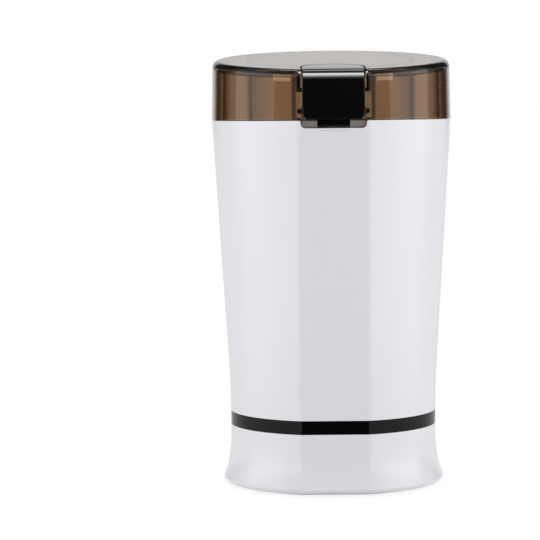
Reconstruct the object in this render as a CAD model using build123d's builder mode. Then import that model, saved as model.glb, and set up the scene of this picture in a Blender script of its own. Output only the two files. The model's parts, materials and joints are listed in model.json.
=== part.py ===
"""Electric spice grinder: a blade mill that runs while the button in its lid is held down.

Millimetres. +Z is up, the button faces -Y, and the origin is the centre of the rubber feet's
soles, on the motor's axis.
"""
from build123d import *
from math import atan, cos, degrees, radians, sqrt, tan
import os

# ---- outside of the housing: radii about the motor's axis, heights above the table
foot_height = 0.9              # the feet hold the base this far off the table
base_flare = 3.0               # the base's widest point stands this far outside the waist
bottom_edge = 2.0              # rounding under the base
flare_start = 19.2             # the base flares out below this height
waist_radius = 41.1
taper_corner = 37.6            # where the straight taper would meet the waist
taper_blend = 12.0             # the waist starts to bend outwards this far below that corner
seam_radius = 47.6
seam_height = 145.4            # the lid stands on the body here
front_flat_width = 26.0        # flat strip down the front of every shell
crease_radius = 8.0            # softens both edges of the flat strip
trim_bottom = 24.0
trim_top = 29.4

# ---- walls and general clearances
shell_wall = 2.5
lid_wall = 2.2
fit_gap = 0.1                  # between parts of one body that slide together
free_gap = 0.3                 # between parts that move past each other
travel_reserve = 0.5           # spare room below whatever the button moves
shaft_gap = 0.08               # radial running clearance on the shaft

# ---- bottom cover, feet and the columns that the base screws bite into
cover_inset = 5.5              # from the base's widest point in to the cover's rim
cover_thickness = 2.2
ledge_thickness = 1.9
ledge_width = 2.5
spigot_wall = 1.6
spigot_drop = 3.8              # how far the body's spigot reaches below the trim ring
spigot_rise = 2.8
column_radius = 3.5
column_inset = 6.3             # from the waist's outside in to the middle of a column
column_height = 40.0
base_screw_radius = 1.4
base_screw_head = 2.8
base_screw_length = 13.0
foot_radius = 5.0
foot_inset = 8.5               # from the cover's rim in to the middle of a foot
foot_stem_radius = 2.0
foot_recess = 1.0
vent_count = 14
vent_width = 2.2
vent_inner = 9.0
vent_outer = 20.5

# ---- cord outlet at the back
cord_height = 12.2
cord_bore_radius = 3.4
gland_radius = 5.2
gland_flange_radius = 6.8
gland_flange = 1.2
gland_inner_collar = 2.0
gland_seat = 0.3               # its flat seat stands this far outside the waist
clamp_distance = 24.0          # from the motor's axis to the middle of the cord clamp
clamp_width = 20.0
clamp_depth = 6.0
clamp_height = 4.2
clamp_screw_spacing = 13.0
clamp_screw_radius = 1.2

# ---- deck and grinding bowl
deck_thickness = 2.5
deck_drop = 1.2                # the deck lies this far below the seam
deck_ledge = 2.0
bowl_margin = 13.3             # from the seam's outside in to the bowl's wall
bowl_wall = 0.6
bowl_bottom = 103.3            # the motor stands below this height, whatever the bowl's depth
bowl_corner = 7.0
bowl_flange_width = 1.6
bowl_hole_radius = 6.9
bowl_rest_inner = 15.0         # ring of the motor carrier that the bowl's floor stands on
bowl_rest_outer = 19.5
bowl_gasket_thickness = 1.5

# ---- motor
shaft_radius = 3.0
shaft_end = 0.9                # the shaft sticks out this far below the fan
thread_radius = 2.5
carrier_drop = 12.1            # from the bowl's floor down to the carrier
carrier_thickness = 3.0
carrier_hole_radius = 11.0
air_slot_width = 4.0
boss_radius = 3.3
boss_inset = 5.9               # from the body's outside in to the middle of a boss
boss_length = 18.0
carrier_screw_radius = 1.4
carrier_screw_head = 2.9
bolt_spacing = 50.0
bolt_radius = 1.6
bolt_head_radius = 2.9
bolt_head = 1.8
spacer_radius = 3.0
damper_height = 5.6
upper_spacer = 5.9             # between the stator and the upper bracket
stack_height = 20.0
stator_length = 59.0
stator_width = 47.0
stator_corner = 6.0
rotor_radius = 14.9
air_gap = 0.5
rotor_slots = 12
slot_width = 2.2
slot_floor_radius = 7.5
window_outer = 21.2
window_start = 18.0            # degrees from the bolts' line to a coil window
window_arc = 29.0
coil_gap = 0.3
coil_overhang = 4.8
winding_radius = 13.2
winding_overhang = 5.5
commutator_radius = 9.0
commutator_drop = 15.0         # from the stator down to the commutator's lower end
commutator_height = 8.0
commutator_slit = 0.5
bearing_radius = 8.0
bearing_width = 5.0
bearing_race = 1.6
lower_bearing_drop = 20.8      # from the stator down to the lower bearing
bearing_lip = 1.2              # floor under the lower bearing
bracket_thickness = 1.5
bracket_width = 15.0
cup_wall = 1.5
brush_width = 5.0
brush_height = 5.0
brush_length = 7.5
brush_reach = 24.0             # outer end of each brush tower
tower_width = 9.0
tower_inner = 13.0             # inner end of each brush tower
brush_clearance = 0.1
cap_lip = 1.2
cap_thickness = 1.5
brush_spring_radius = 1.9
brush_wire = 0.3
fan_radius = 27.0
fan_height = 7.0
fan_disc = 1.2
fan_hub_radius = 6.0
fan_blades = 11
fan_blade_thickness = 1.1
fan_rim = 1.0                  # the vanes end this far inside the disc's edge
fan_clearance = 0.8

# ---- blade
seal_lip_height = 3.2
seal_flange_radius = 9.0
seal_flange = 1.4
hub_radius = 6.0
hub_height = 4.0
hub_clearance = 0.5
blade_gap = 4.8                # from the blade's tips to the bowl's wall
blade_width = 9.0
blade_thickness = 1.5
blade_disc_radius = 6.8
blade_twist = 16.0             # degrees that each arm is turned about its own length
blade_tip_rise = 3.2
blade_tip_width = 6.3
blade_edge = 0.3
blade_bevel = 2.2
nut_radius = 4.6
nut_hex_height = 2.6
nut_dome_height = 3.0
nut_dome_radius = 3.8

# ---- lid
lid_draft = 0.6                # the lid narrows by this much
lid_draft_height = 31.8        # over this height above the seam
lid_rise = 24.0                # from the seam to the middle of the lid's top
lid_slope = 5.8                # degrees; the top falls towards the button
lid_top_wall = 2.3
lid_edge_radius = 2.8
seam_gap = 0.2
skirt_clearance = 0.5          # between the skirt and the bowl's wall
skirt_wall = 2.0
skirt_reach = 4.7              # how far the skirt dips into the bowl's mouth
lid_seal_drop = 2.9            # from the seam down to the seal
lid_seal_thickness = 1.1
lid_seal_gap = 0.15

# ---- button and its pocket in the lid; depths are measured back from the lid's front flat
button_half_width = 12.1
button_depth = 0.1             # depth of its face
button_thickness = 1.8
button_top_wall = 2.0
button_skirt = 1.0
button_skirt_rise = 16.0       # from the seam up to the lower edge of the button's rim
button_corner = 2.3
button_front_edge = 2.0
button_rim_edge = 0.6          # rounding along the button's other outer edges
button_arc_depth = 13.2
button_gap = 0.4
button_travel = 2.5
pocket_wall = 1.6
pocket_depth = 9.3
notch_half_width = 12.6
notch_corner = 1.8             # rounding of the notch's lower corners
notch_lip = 0.7                # rounding where its sides meet the seam
tab_depth = 2.2
tab_thickness = 1.4
tab_rise = 1.8                 # from the seam up to the tab's top
stem_half_width = 6.3
stem_depth = 3.1
stem_thickness = 3.3
stem_drop = 2.0                # from the seam down to the stem's end
rib_half_width = 4.5
rib_depth = 3.4
rib_thickness = 2.5
post_radius = 1.3
post_offset = 8.0
post_depth = 6.2
guide_depth = 2.3
guide_thickness = 3.0
hook_reach = 0.9
hook_height = 1.6
hook_width = 2.0
button_spring_radius = 2.0
button_wire = 0.3
spring_turns = 5

# ---- fine line moulded in the body's flat, under the notch
line_half_width = 6.1
line_width = 0.3
line_drop = 3.8                # from the seam down to the line
line_depth = 0.45              # depth of its floor, behind the front flat at the seam

# ---- switch under the deck; depths are measured back from the front flat at the seam
plunger_depth = 6.6            # depth of the middle of its rod
plunger_radius = 1.4
plunger_half_width = 5.0
plunger_head_depth = 3.5
plunger_head_thickness = 4.1
plunger_head_height = 2.7
plunger_lift = 0.7             # from the switch up to the plunger's end
switch_drop = 12.6             # from the deck down to the switch
switch_height = 6.4
switch_half_width = 6.4
switch_depth = 4.6
switch_thickness = 5.3
switch_guide_half_width = 7.4
switch_guide_depth = 10.3
switch_guide_floor = 2.0
spring_chamber_radius = 2.5
plunger_spring_radius = 1.95
plunger_wire = 0.25
terminal_thickness = 0.8
terminal_width = 3.0
terminal_length = 4.5

# ---- heights and radii that follow from the sizes above
base_radius = waist_radius + base_flare
cover_bottom = foot_height + 2 * fit_gap
cover_top = cover_bottom + cover_thickness
cover_radius = base_radius - cover_inset
ledge_radius = cover_radius - ledge_width
column_circle = waist_radius - column_inset
foot_circle = cover_radius - foot_inset
gland_outside = waist_radius + gland_seat
gland_inside = waist_radius - shell_wall - gland_inner_collar

deck_top = seam_height - deck_drop
deck_bottom = deck_top - deck_thickness
bowl_radius = seam_radius - bowl_margin
bowl_rim = deck_top + bowl_wall
bowl_floor = bowl_bottom + bowl_wall

carrier_bottom = bowl_bottom - carrier_drop
carrier_top = carrier_bottom + carrier_thickness
taper = (seam_radius - waist_radius) / (seam_height - taper_corner)
boss_circle = waist_radius + (carrier_bottom - taper_corner) * taper - boss_inset
upper_bearing_bottom = carrier_bottom - damper_height
upper_bracket = upper_bearing_bottom - bracket_thickness
stator_top = upper_bracket - upper_spacer
stator_bottom = stator_top - stack_height
stator_bore = rotor_radius + air_gap
commutator_bottom = stator_bottom - commutator_drop
tower_top = commutator_bottom + commutator_height
brush_floor = commutator_bottom + (commutator_height - brush_height) / 2
brush_tip = commutator_radius + brush_clearance
lower_bearing_bottom = stator_bottom - lower_bearing_drop
lower_bracket = lower_bearing_bottom - bearing_lip
cup_radius = bearing_radius + fit_gap
fan_top = lower_bracket - bolt_head - fan_clearance
fan_bottom = fan_top - fan_height
shaft_bottom = fan_bottom - shaft_end
coil_leg_starts = (
    window_start,
    180 - window_start - window_arc,
    180 + window_start,
    360 - window_start - window_arc,
)

hub_bottom = bowl_floor + seal_lip_height + hub_clearance
blade_bottom = hub_bottom + hub_height
blade_top = blade_bottom + blade_thickness
shaft_top = blade_top + nut_hex_height - fit_gap
nut_crown = blade_top + nut_hex_height + nut_dome_height
blade_reach = bowl_radius - blade_gap

lid_bottom = seam_height + seam_gap
lid_centre_height = seam_height + lid_rise
lid_top_reference = seam_height + lid_draft_height
lid_top_radius = seam_radius - lid_draft
skirt_radius = bowl_radius - skirt_clearance
lid_seal_height = seam_height - lid_seal_drop
skirt_bottom = seam_height - skirt_reach
front_face = sqrt(seam_radius**2 - (front_flat_width / 2) ** 2)
button_front = front_face - button_depth
button_arc_centre = front_face - button_arc_depth
button_bottom = seam_height + travel_reserve
button_skirt_bottom = seam_height + button_skirt_rise
pocket_half_width = button_half_width + button_gap
pocket_floor = button_skirt_bottom - button_travel - 2 * travel_reserve
pocket_back = front_face - pocket_depth
pocket_back_wall = pocket_back - pocket_wall
notch_depth = button_travel + free_gap + fit_gap
tab_front = front_face - tab_depth
tab_top = seam_height + tab_rise
stem_front = front_face - stem_depth
stem_back = stem_front - stem_thickness
stem_bottom = seam_height - stem_drop
rib_front = front_face - rib_depth
rib_back = rib_front - rib_thickness
post_line = front_face - post_depth
post_bottom = deck_top + button_travel + travel_reserve
guide_front = front_face - guide_depth
guide_bottom = tab_top + free_gap
guide_top = guide_bottom + guide_thickness

plunger_line = front_face - plunger_depth
plunger_head_front = front_face - plunger_head_depth
plunger_head_back = plunger_head_front - plunger_head_thickness
plunger_top = stem_bottom - free_gap
plunger_head_bottom = plunger_top - plunger_head_height
spring_chamber_top = plunger_head_bottom - button_travel - travel_reserve
switch_top = deck_bottom - switch_drop
switch_bottom = switch_top - switch_height
switch_front = front_face - switch_depth
switch_back = switch_front - switch_thickness
switch_guide_back = front_face - switch_guide_depth
switch_bore_depth = button_travel + 4 * travel_reserve
spring_floor = switch_top + fit_gap + switch_guide_floor
plunger_bottom = switch_top + plunger_lift
far = 60.0                     # reaches past the whole object


# ---- shared forms

FRONT = Plane(origin=(0, 0, 0), x_dir=(0, -1, 0), z_dir=(-1, 0, 0))


def round_reach(radius):
    """how far the housing reaches at its sides and back"""
    return radius


def flat_reach(radius):
    """how far the housing reaches at its front flat, whose width is the same at any height"""
    return sqrt(radius**2 - (front_flat_width / 2) ** 2)


def side_face(plane, back, reach, inset):
    """side view of the housing on one plane, from back to its surface, moved in by inset"""
    base = reach(base_radius) - inset
    waist = reach(waist_radius) - inset
    seam = reach(seam_radius) - inset
    widest = foot_height + bottom_edge
    bend = atan((seam - waist) / (seam_height - taper_corner))
    with BuildSketch(plane) as face:
        with BuildLine():
            Polyline((back, seam_height), (back, foot_height), (base - bottom_edge, foot_height))
            TangentArc((base - bottom_edge, foot_height), (base, widest), tangent=(1, 0))
            TangentArc((waist, flare_start), (base, widest), tangent=(0, -1))
            FilletPolyline(
                (waist, flare_start),
                (waist, taper_corner),
                (seam, seam_height),
                radius=taper_blend / tan(bend / 2),
            )
            Line((seam, seam_height), (back, seam_height))
        make_face()
    return face.sketch


def is_crease(edge):
    """true for the long edges of the front flat"""
    middle = edge.center()
    return middle.Y < 0 and abs(abs(middle.X) - front_flat_width / 2) < 1


def housing_form(inset, low, high, softened=False):
    """the housing's outer form moved in by inset, between two heights"""
    with BuildPart() as form:
        revolve(side_face(Plane.XZ, 0, round_reach, inset), axis=Axis.Z)
        front = side_face(FRONT, -far, flat_reach, inset)
        extrude(front, amount=far, both=True, mode=Mode.INTERSECT)
        if low > foot_height:
            split(bisect_by=Plane.XY.offset(low), keep=Keep.TOP)
        if high < seam_height:
            split(bisect_by=Plane.XY.offset(high), keep=Keep.BOTTOM)
        if softened:
            fillet(form.edges().filter_by(is_crease), crease_radius)
    return form.part


def lid_plane(drop):
    """the sloping plane of the lid's top, moved down into the lid by drop"""
    top = Plane.XY.offset(lid_centre_height).rotated((lid_slope, 0, 0))
    return top.offset(-drop)


def lid_height(distance):
    """height of the lid's top at a distance in front of the axis"""
    return lid_centre_height - distance * tan(radians(lid_slope))


def lid_face(plane, back, reach, inset, low):
    """side view of the uncut lid on one plane, from back to its surface"""
    seam = reach(seam_radius) - inset
    top = reach(lid_top_radius) - inset
    with BuildSketch(plane) as face:
        with BuildLine():
            Polyline(
                (back, low),
                (seam, low),
                (top, lid_top_reference),
                (back, lid_top_reference),
                close=True,
            )
        make_face()
    return face.sketch


def lid_form(inset, drop, low, softened=False):
    """the lid's outer form moved in by inset, with its top lowered by drop"""
    with BuildPart() as form:
        revolve(lid_face(Plane.XZ, 0, round_reach, inset, low), axis=Axis.Z)
        front = lid_face(FRONT, -far, flat_reach, inset, low)
        extrude(front, amount=far, both=True, mode=Mode.INTERSECT)
        split(bisect_by=lid_plane(drop), keep=Keep.BOTTOM)
        if softened:
            fillet(form.edges().filter_by(is_crease), crease_radius)
            fillet(form.faces().sort_by(Axis.Z)[-1].edges(), lid_edge_radius)
    return form.part


def block(half_width, front, back, low, high):
    """a box centred on the YZ plane, between two distances in front of the axis"""
    with BuildPart() as solid:
        with BuildSketch(Plane.XY.offset(low)):
            with Locations((0, -(front + back) / 2)):
                Rectangle(2 * half_width, front - back)
        extrude(amount=high - low)
    return solid.part


def hook_row(half_width, height):
    """two hooks that reach from the button guide into the pocket's side walls"""
    reach = pocket_half_width + hook_reach
    middle = (guide_front + pocket_back) / 2
    low = (guide_bottom + guide_top - height) / 2
    with BuildPart() as row:
        add(block(reach, middle + half_width, middle - half_width, low, low + height))
        add(
            block(pocket_half_width - hook_reach, far, 0, low, low + height),
            mode=Mode.SUBTRACT,
        )
    return row.part


def ring(inner, outer, low, high):
    """a plain ring about the motor's axis"""
    with BuildPart() as solid:
        with BuildSketch(Plane.XY.offset(low)):
            Circle(outer)
            Circle(inner, mode=Mode.SUBTRACT)
        extrude(amount=high - low)
    return solid.part


def ring_sector(height, inner, outer, start, arc):
    """a sector of a ring, drawn at one height"""
    with BuildSketch(Plane.XY.offset(height)) as sector:
        with BuildLine():
            outside = CenterArc((0, 0), outer, start, arc)
            inside = CenterArc((0, 0), inner, start, arc)
            Line(outside @ 0, inside @ 0)
            Line(outside @ 1, inside @ 1)
        make_face()
    return sector.sketch


def coil_spring(foot, axis, length, radius, wire, turns):
    """a compression spring that stands at foot and runs along axis"""
    with BuildPart() as spring:
        with BuildLine() as route:
            Helix(
                pitch=(length - 2 * wire) / turns,
                height=length - 2 * wire,
                radius=radius,
                center=foot,
                direction=axis,
            )
        start = route.line @ 0
        with BuildSketch(Plane(origin=start, z_dir=route.line % 0)):
            RegularPolygon(wire, 8)
        sweep(is_frenet=True)
    lift = Vector(*axis).normalized() * wire
    return spring.part.moved(Location(lift))


# ---- housing shells

housing_core = housing_form(shell_wall / 2, cover_top, seam_height)

with BuildSketch(Plane.XZ) as notch_outline:
    with BuildLine():
        Polyline(
            (-2 * notch_half_width, seam_height + notch_depth),
            (-2 * notch_half_width, seam_height),
            (-notch_half_width, seam_height),
            (-notch_half_width, seam_height - notch_depth),
            (notch_half_width, seam_height - notch_depth),
            (notch_half_width, seam_height),
            (2 * notch_half_width, seam_height),
            (2 * notch_half_width, seam_height + notch_depth),
            close=True,
        )
    make_face()
    fillet(notch_outline.vertices().group_by(Axis.Y)[0], notch_corner)
    fillet(
        notch_outline.vertices().group_by(Axis.Y)[-2].sort_by(Axis.X)[1:-1],
        notch_lip,
    )

with BuildPart() as inner_posts:
    # columns for the base screws
    with BuildSketch(Plane.XY.offset(cover_top)):
        with PolarLocations(column_circle, 4, start_angle=45):
            Circle(column_radius)
    extrude(amount=column_height)
    # webs that tie the columns to the wall above the spigot
    with BuildSketch(Plane.XY.offset(trim_top)):
        with PolarLocations(column_circle + column_radius, 4, start_angle=45):
            Rectangle(2 * column_radius, shell_wall)
    extrude(amount=cover_top + column_height - trim_top)
    # bosses that carry the motor carrier
    with BuildSketch(Plane.XY.offset(carrier_bottom - boss_length)):
        with PolarLocations(boss_circle, 4, start_angle=45):
            Circle(boss_radius)
            with Locations((boss_radius, 0)):
                Rectangle(2 * boss_radius, boss_radius)
    extrude(amount=boss_length)
    add(housing_core, mode=Mode.INTERSECT)
    # pilot holes for both sets of screws
    with BuildSketch(Plane.XY.offset(cover_top)):
        with PolarLocations(column_circle, 4, start_angle=45):
            Circle(base_screw_radius + fit_gap / 2)
    extrude(amount=base_screw_length, mode=Mode.SUBTRACT)
    with BuildSketch(Plane.XY.offset(carrier_bottom)):
        with PolarLocations(boss_circle, 4, start_angle=45):
            Circle(carrier_screw_radius + fit_gap / 2)
    extrude(amount=-boss_length / 2, mode=Mode.SUBTRACT)

with BuildPart() as spigot:
    add(housing_form(shell_wall + fit_gap, trim_bottom - spigot_drop, trim_top))
    add(housing_form(shell_wall / 2, trim_top, trim_top + spigot_rise))
    add(
        housing_form(
            shell_wall + fit_gap + spigot_wall, trim_bottom - spigot_drop, trim_top + spigot_rise
        ),
        mode=Mode.SUBTRACT,
    )

with BuildPart() as deck_ledge_ring:
    add(housing_form(shell_wall / 2, deck_bottom - 2 * deck_ledge, deck_bottom))
    add(
        housing_form(shell_wall + deck_ledge, deck_bottom - 2 * deck_ledge, deck_bottom),
        mode=Mode.SUBTRACT,
    )
    # gap in the ledge for the switch and its plunger
    add(
        block(switch_guide_half_width + free_gap, far, 0, deck_bottom - 3 * deck_ledge, seam_height),
        mode=Mode.SUBTRACT,
    )

with BuildPart() as body_shell:
    add(housing_form(0, trim_top, seam_height, softened=True))
    add(housing_form(shell_wall, trim_top, seam_height), mode=Mode.SUBTRACT)
    add(spigot.part)
    add(deck_ledge_ring.part)
    add(inner_posts.part)
    extrude(notch_outline.sketch, amount=far, mode=Mode.SUBTRACT)
    add(
        block(
            line_half_width,
            far,
            front_face - line_depth,
            seam_height - line_drop - line_width / 2,
            seam_height - line_drop + line_width / 2,
        ),
        mode=Mode.SUBTRACT,
    )
body_shell.part.label = "body_shell"

with BuildPart() as trim_ring:
    add(housing_form(0, trim_bottom, trim_top))
    add(housing_form(shell_wall, trim_bottom, trim_top), mode=Mode.SUBTRACT)
trim_ring.part.label = "trim_ring"

with BuildPart() as base_shell:
    add(housing_form(0, foot_height, trim_bottom, softened=True))
    add(housing_form(shell_wall, cover_top + ledge_thickness, trim_bottom), mode=Mode.SUBTRACT)
    # recess for the bottom cover, and the opening inside the ledge
    with BuildSketch(Plane.XY.offset(foot_height)):
        Circle(cover_radius + fit_gap)
    extrude(amount=cover_top - foot_height, mode=Mode.SUBTRACT)
    with BuildSketch(Plane.XY.offset(cover_top)):
        Circle(ledge_radius)
        with PolarLocations(column_circle, 4, start_angle=45):
            Circle(column_radius + free_gap)
    extrude(amount=ledge_thickness, mode=Mode.SUBTRACT)
    # hole and flat seat for the cord gland
    with BuildSketch(Plane.XZ):
        with Locations((0, cord_height)):
            Circle(gland_radius + fit_gap)
    extrude(amount=-far, mode=Mode.SUBTRACT)
    with BuildSketch(Plane.XZ.offset(-gland_outside)):
        with Locations((0, cord_height)):
            Circle(gland_flange_radius + free_gap)
    extrude(amount=-far, mode=Mode.SUBTRACT)
base_shell.part.label = "base_shell"

with BuildPart() as bottom_cover:
    with BuildSketch(Plane.XY.offset(cover_bottom)):
        Circle(cover_radius)
    extrude(amount=cover_thickness)
    # pedestal whose groove holds the cord
    with BuildSketch(Plane.XY.offset(cover_top)):
        with Locations((0, clamp_distance)):
            Rectangle(clamp_width, clamp_depth)
    extrude(amount=cord_height - fit_gap - cover_top)
    with BuildSketch(Plane.XZ.offset(-clamp_distance)):
        with Locations((0, cord_height)):
            Circle(cord_bore_radius)
    extrude(amount=clamp_depth, both=True, mode=Mode.SUBTRACT)
    with BuildSketch(Plane.XY.offset(cover_top)):
        with Locations((0, clamp_distance)):
            with GridLocations(clamp_screw_spacing, 0, 2, 1):
                Circle(clamp_screw_radius + fit_gap / 2)
    extrude(amount=cord_height, mode=Mode.SUBTRACT)
    # air slots under the fan
    with BuildSketch(Plane.XY.offset(cover_bottom)):
        with PolarLocations((vent_inner + vent_outer) / 2, vent_count):
            SlotOverall(vent_outer - vent_inner, vent_width)
    extrude(amount=cover_thickness, mode=Mode.SUBTRACT)
    # seats of the feet and of the countersunk screws
    with BuildSketch(Plane.XY.offset(cover_bottom)):
        with PolarLocations(foot_circle, 4):
            Circle(foot_radius + fit_gap)
    extrude(amount=foot_recess, mode=Mode.SUBTRACT)
    with BuildSketch(Plane.XY.offset(cover_bottom)):
        with PolarLocations(foot_circle, 4):
            Circle(foot_stem_radius + fit_gap)
    extrude(amount=cover_thickness, mode=Mode.SUBTRACT)
    with Locations(Plane.XY.offset(cover_bottom).rotated((180, 0, 0))):
        with PolarLocations(column_circle, 4, start_angle=45):
            CounterSinkHole(
                base_screw_radius + fit_gap, base_screw_head + fit_gap, depth=cover_thickness
            )
bottom_cover.part.label = "bottom_cover"

with BuildPart() as rubber_feet:
    with BuildSketch():
        with PolarLocations(foot_circle, 4):
            Circle(foot_radius)
    extrude(amount=cover_bottom + foot_recess)
    chamfer(rubber_feet.faces().filter_by(Axis.Z).group_by(Axis.Z)[0].edges(), foot_height / 2)
    with BuildSketch(Plane.XY.offset(cover_bottom + foot_recess)):
        with PolarLocations(foot_circle, 4):
            Circle(foot_stem_radius)
    extrude(amount=cover_thickness)
rubber_feet.part.label = "rubber_feet"

with BuildPart() as base_screw:
    with BuildSketch(Plane.XZ):
        with BuildLine():
            Polyline(
                (0, cover_bottom),
                (base_screw_head, cover_bottom),
                (base_screw_radius, cover_bottom + base_screw_head - base_screw_radius),
                (base_screw_radius, cover_bottom + base_screw_length),
                (0, cover_bottom + base_screw_length + base_screw_radius),
                close=True,
            )
        make_face()
    revolve(axis=Axis.Z)
    with BuildSketch(Plane.XY.offset(cover_bottom)):
        Rectangle(base_screw_head, base_screw_head / 4)
        Rectangle(base_screw_head / 4, base_screw_head)
    extrude(amount=base_screw_radius / 2, mode=Mode.SUBTRACT)

with BuildPart() as base_screws:
    with PolarLocations(column_circle, 4, start_angle=45):
        add(base_screw.part)
base_screws.part.label = "base_screws"

with BuildPart() as cord_gland:
    with BuildSketch(Plane.XZ.offset(-gland_inside)):
        with Locations((0, cord_height)):
            Circle(gland_radius)
    extrude(amount=-(gland_outside + gland_flange - gland_inside))
    with BuildSketch(Plane.XZ.offset(-gland_outside)):
        with Locations((0, cord_height)):
            Circle(gland_flange_radius)
    extrude(amount=-gland_flange)
    with BuildSketch(Plane.XZ):
        with Locations((0, cord_height)):
            Circle(cord_bore_radius)
    extrude(amount=-far, mode=Mode.SUBTRACT)
cord_gland.part.label = "cord_gland"

with BuildPart() as cord_clamp:
    with BuildSketch(Plane.XY.offset(cord_height + fit_gap)):
        with Locations((0, clamp_distance)):
            Rectangle(clamp_width, clamp_depth)
            with GridLocations(clamp_screw_spacing, 0, 2, 1):
                Circle(clamp_screw_radius + fit_gap, mode=Mode.SUBTRACT)
    extrude(amount=clamp_height)
    with BuildSketch(Plane.XZ.offset(-clamp_distance)):
        with Locations((0, cord_height)):
            Circle(cord_bore_radius)
    extrude(amount=clamp_depth, both=True, mode=Mode.SUBTRACT)
cord_clamp.part.label = "cord_clamp"

with BuildPart() as clamp_screws:
    with BuildSketch(Plane.XY.offset(cover_top + clamp_screw_radius)):
        with Locations((0, clamp_distance)):
            with GridLocations(clamp_screw_spacing, 0, 2, 1):
                Circle(clamp_screw_radius)
    extrude(amount=cord_height + fit_gap + clamp_height - cover_top - clamp_screw_radius)
    with BuildSketch(Plane.XY.offset(cord_height + fit_gap + clamp_height)):
        with Locations((0, clamp_distance)):
            with GridLocations(clamp_screw_spacing, 0, 2, 1):
                Circle(2 * clamp_screw_radius)
    extrude(amount=clamp_screw_radius)
clamp_screws.part.label = "clamp_screws"

# ---- deck and grinding bowl

with BuildPart() as top_deck:
    add(housing_form(shell_wall + fit_gap, deck_bottom, deck_top))
    with BuildSketch(Plane.XY.offset(deck_bottom)):
        Circle(bowl_radius + bowl_wall + fit_gap)
    extrude(amount=deck_thickness, mode=Mode.SUBTRACT)
    # slot for the button's stem and the head of the plunger
    add(
        block(stem_half_width + button_gap, far, plunger_head_back - button_gap, deck_bottom, deck_top),
        mode=Mode.SUBTRACT,
    )
    # gap for the lid's tab behind the notch
    add(
        block(
            notch_half_width + free_gap,
            far,
            tab_front - tab_thickness - free_gap,
            deck_bottom,
            deck_top,
        ),
        mode=Mode.SUBTRACT,
    )
top_deck.part.label = "top_deck"

with BuildPart() as grinding_bowl:
    with BuildSketch(Plane.XZ):
        with BuildLine():
            outer_wall = FilletPolyline(
                (bowl_hole_radius, bowl_bottom),
                (bowl_radius + bowl_wall, bowl_bottom),
                (bowl_radius + bowl_wall, deck_top),
                radius=bowl_corner + bowl_wall,
            )
            Polyline(
                outer_wall @ 1,
                (bowl_radius + bowl_wall + bowl_flange_width, deck_top),
                (bowl_radius + bowl_wall + bowl_flange_width, bowl_rim),
                (bowl_radius, bowl_rim),
            )
            inner_wall = FilletPolyline(
                (bowl_radius, bowl_rim),
                (bowl_radius, bowl_floor),
                (bowl_hole_radius, bowl_floor),
                radius=bowl_corner,
            )
            Line(inner_wall @ 1, outer_wall @ 0)
        make_face()
    revolve(axis=Axis.Z)
grinding_bowl.part.label = "grinding_bowl"

with BuildPart() as bowl_gasket:
    add(ring(bowl_rest_inner, bowl_rest_outer, bowl_bottom - bowl_gasket_thickness, bowl_bottom))
bowl_gasket.part.label = "bowl_gasket"

with BuildPart() as shaft_seal:
    with BuildSketch(Plane.XZ):
        with BuildLine():
            Polyline(
                (shaft_radius + shaft_gap, bowl_bottom - fit_gap - seal_flange),
                (seal_flange_radius, bowl_bottom - fit_gap - seal_flange),
                (seal_flange_radius, bowl_bottom - fit_gap),
                (bowl_hole_radius - fit_gap, bowl_bottom - fit_gap),
                (bowl_hole_radius - fit_gap, bowl_floor + fit_gap),
                (seal_flange_radius - fit_gap, bowl_floor + fit_gap),
                (seal_flange_radius - seal_flange, bowl_floor + seal_flange),
                (hub_radius, bowl_floor + seal_flange),
                (shaft_radius + seal_flange, bowl_floor + seal_lip_height),
                (shaft_radius + shaft_gap, bowl_floor + seal_lip_height),
                close=True,
            )
        make_face()
    revolve(axis=Axis.Z)
shaft_seal.part.label = "shaft_seal"

# ---- motor carrier

with BuildPart() as motor_carrier:
    add(housing_form(shell_wall + free_gap, carrier_bottom, carrier_top))
    add(ring(bowl_rest_inner, bowl_rest_outer, carrier_top, bowl_bottom - bowl_gasket_thickness))
    with BuildSketch(Plane.XY.offset(carrier_bottom)):
        Circle(carrier_hole_radius)
        with GridLocations(bolt_spacing, 0, 2, 1):
            Circle(bolt_radius + fit_gap)
        with PolarLocations(boss_circle, 4, start_angle=45):
            Circle(carrier_screw_radius + fit_gap)
        # air passes round the bowl through these windows
        with PolarLocations((bowl_rest_outer + boss_circle) / 2, 2, start_angle=90):
            SlotOverall(boss_circle - bowl_rest_outer - air_slot_width, air_slot_width)
    extrude(amount=carrier_thickness, mode=Mode.SUBTRACT)
motor_carrier.part.label = "motor_carrier"

with BuildPart() as carrier_screws:
    with BuildSketch(Plane.XY.offset(carrier_bottom - boss_length / 2 + fit_gap)):
        with PolarLocations(boss_circle, 4, start_angle=45):
            Circle(carrier_screw_radius)
    extrude(amount=boss_length / 2 + carrier_thickness - fit_gap)
    with BuildSketch(Plane.XY.offset(carrier_top)):
        with PolarLocations(boss_circle, 4, start_angle=45):
            Circle(carrier_screw_head)
    extrude(amount=carrier_screw_radius)
carrier_screws.part.label = "carrier_screws"

# ---- motor, fixed parts


def bracket_plate(low):
    """plate across the motor from bolt to bolt, with round ends"""
    with BuildPart() as plate:
        with BuildSketch(Plane.XY.offset(low)):
            SlotCenterToCenter(bolt_spacing, bracket_width)
            Circle(cup_radius + 2 * cup_wall)
            with GridLocations(bolt_spacing, 0, 2, 1):
                Circle(bolt_radius + fit_gap, mode=Mode.SUBTRACT)
        extrude(amount=bracket_thickness)
    return plate.part


def bearing(low):
    """ball bearing, its two races and cage as one ring with grooved ends"""
    inner = shaft_radius + shaft_gap
    groove = bearing_width / 8
    with BuildPart() as solid:
        add(ring(inner, bearing_radius, low, low + bearing_width))
        for height in (low, low + bearing_width - groove):
            add(
                ring(inner + bearing_race, bearing_radius - bearing_race, height, height + groove),
                mode=Mode.SUBTRACT,
            )
    return solid.part


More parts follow.
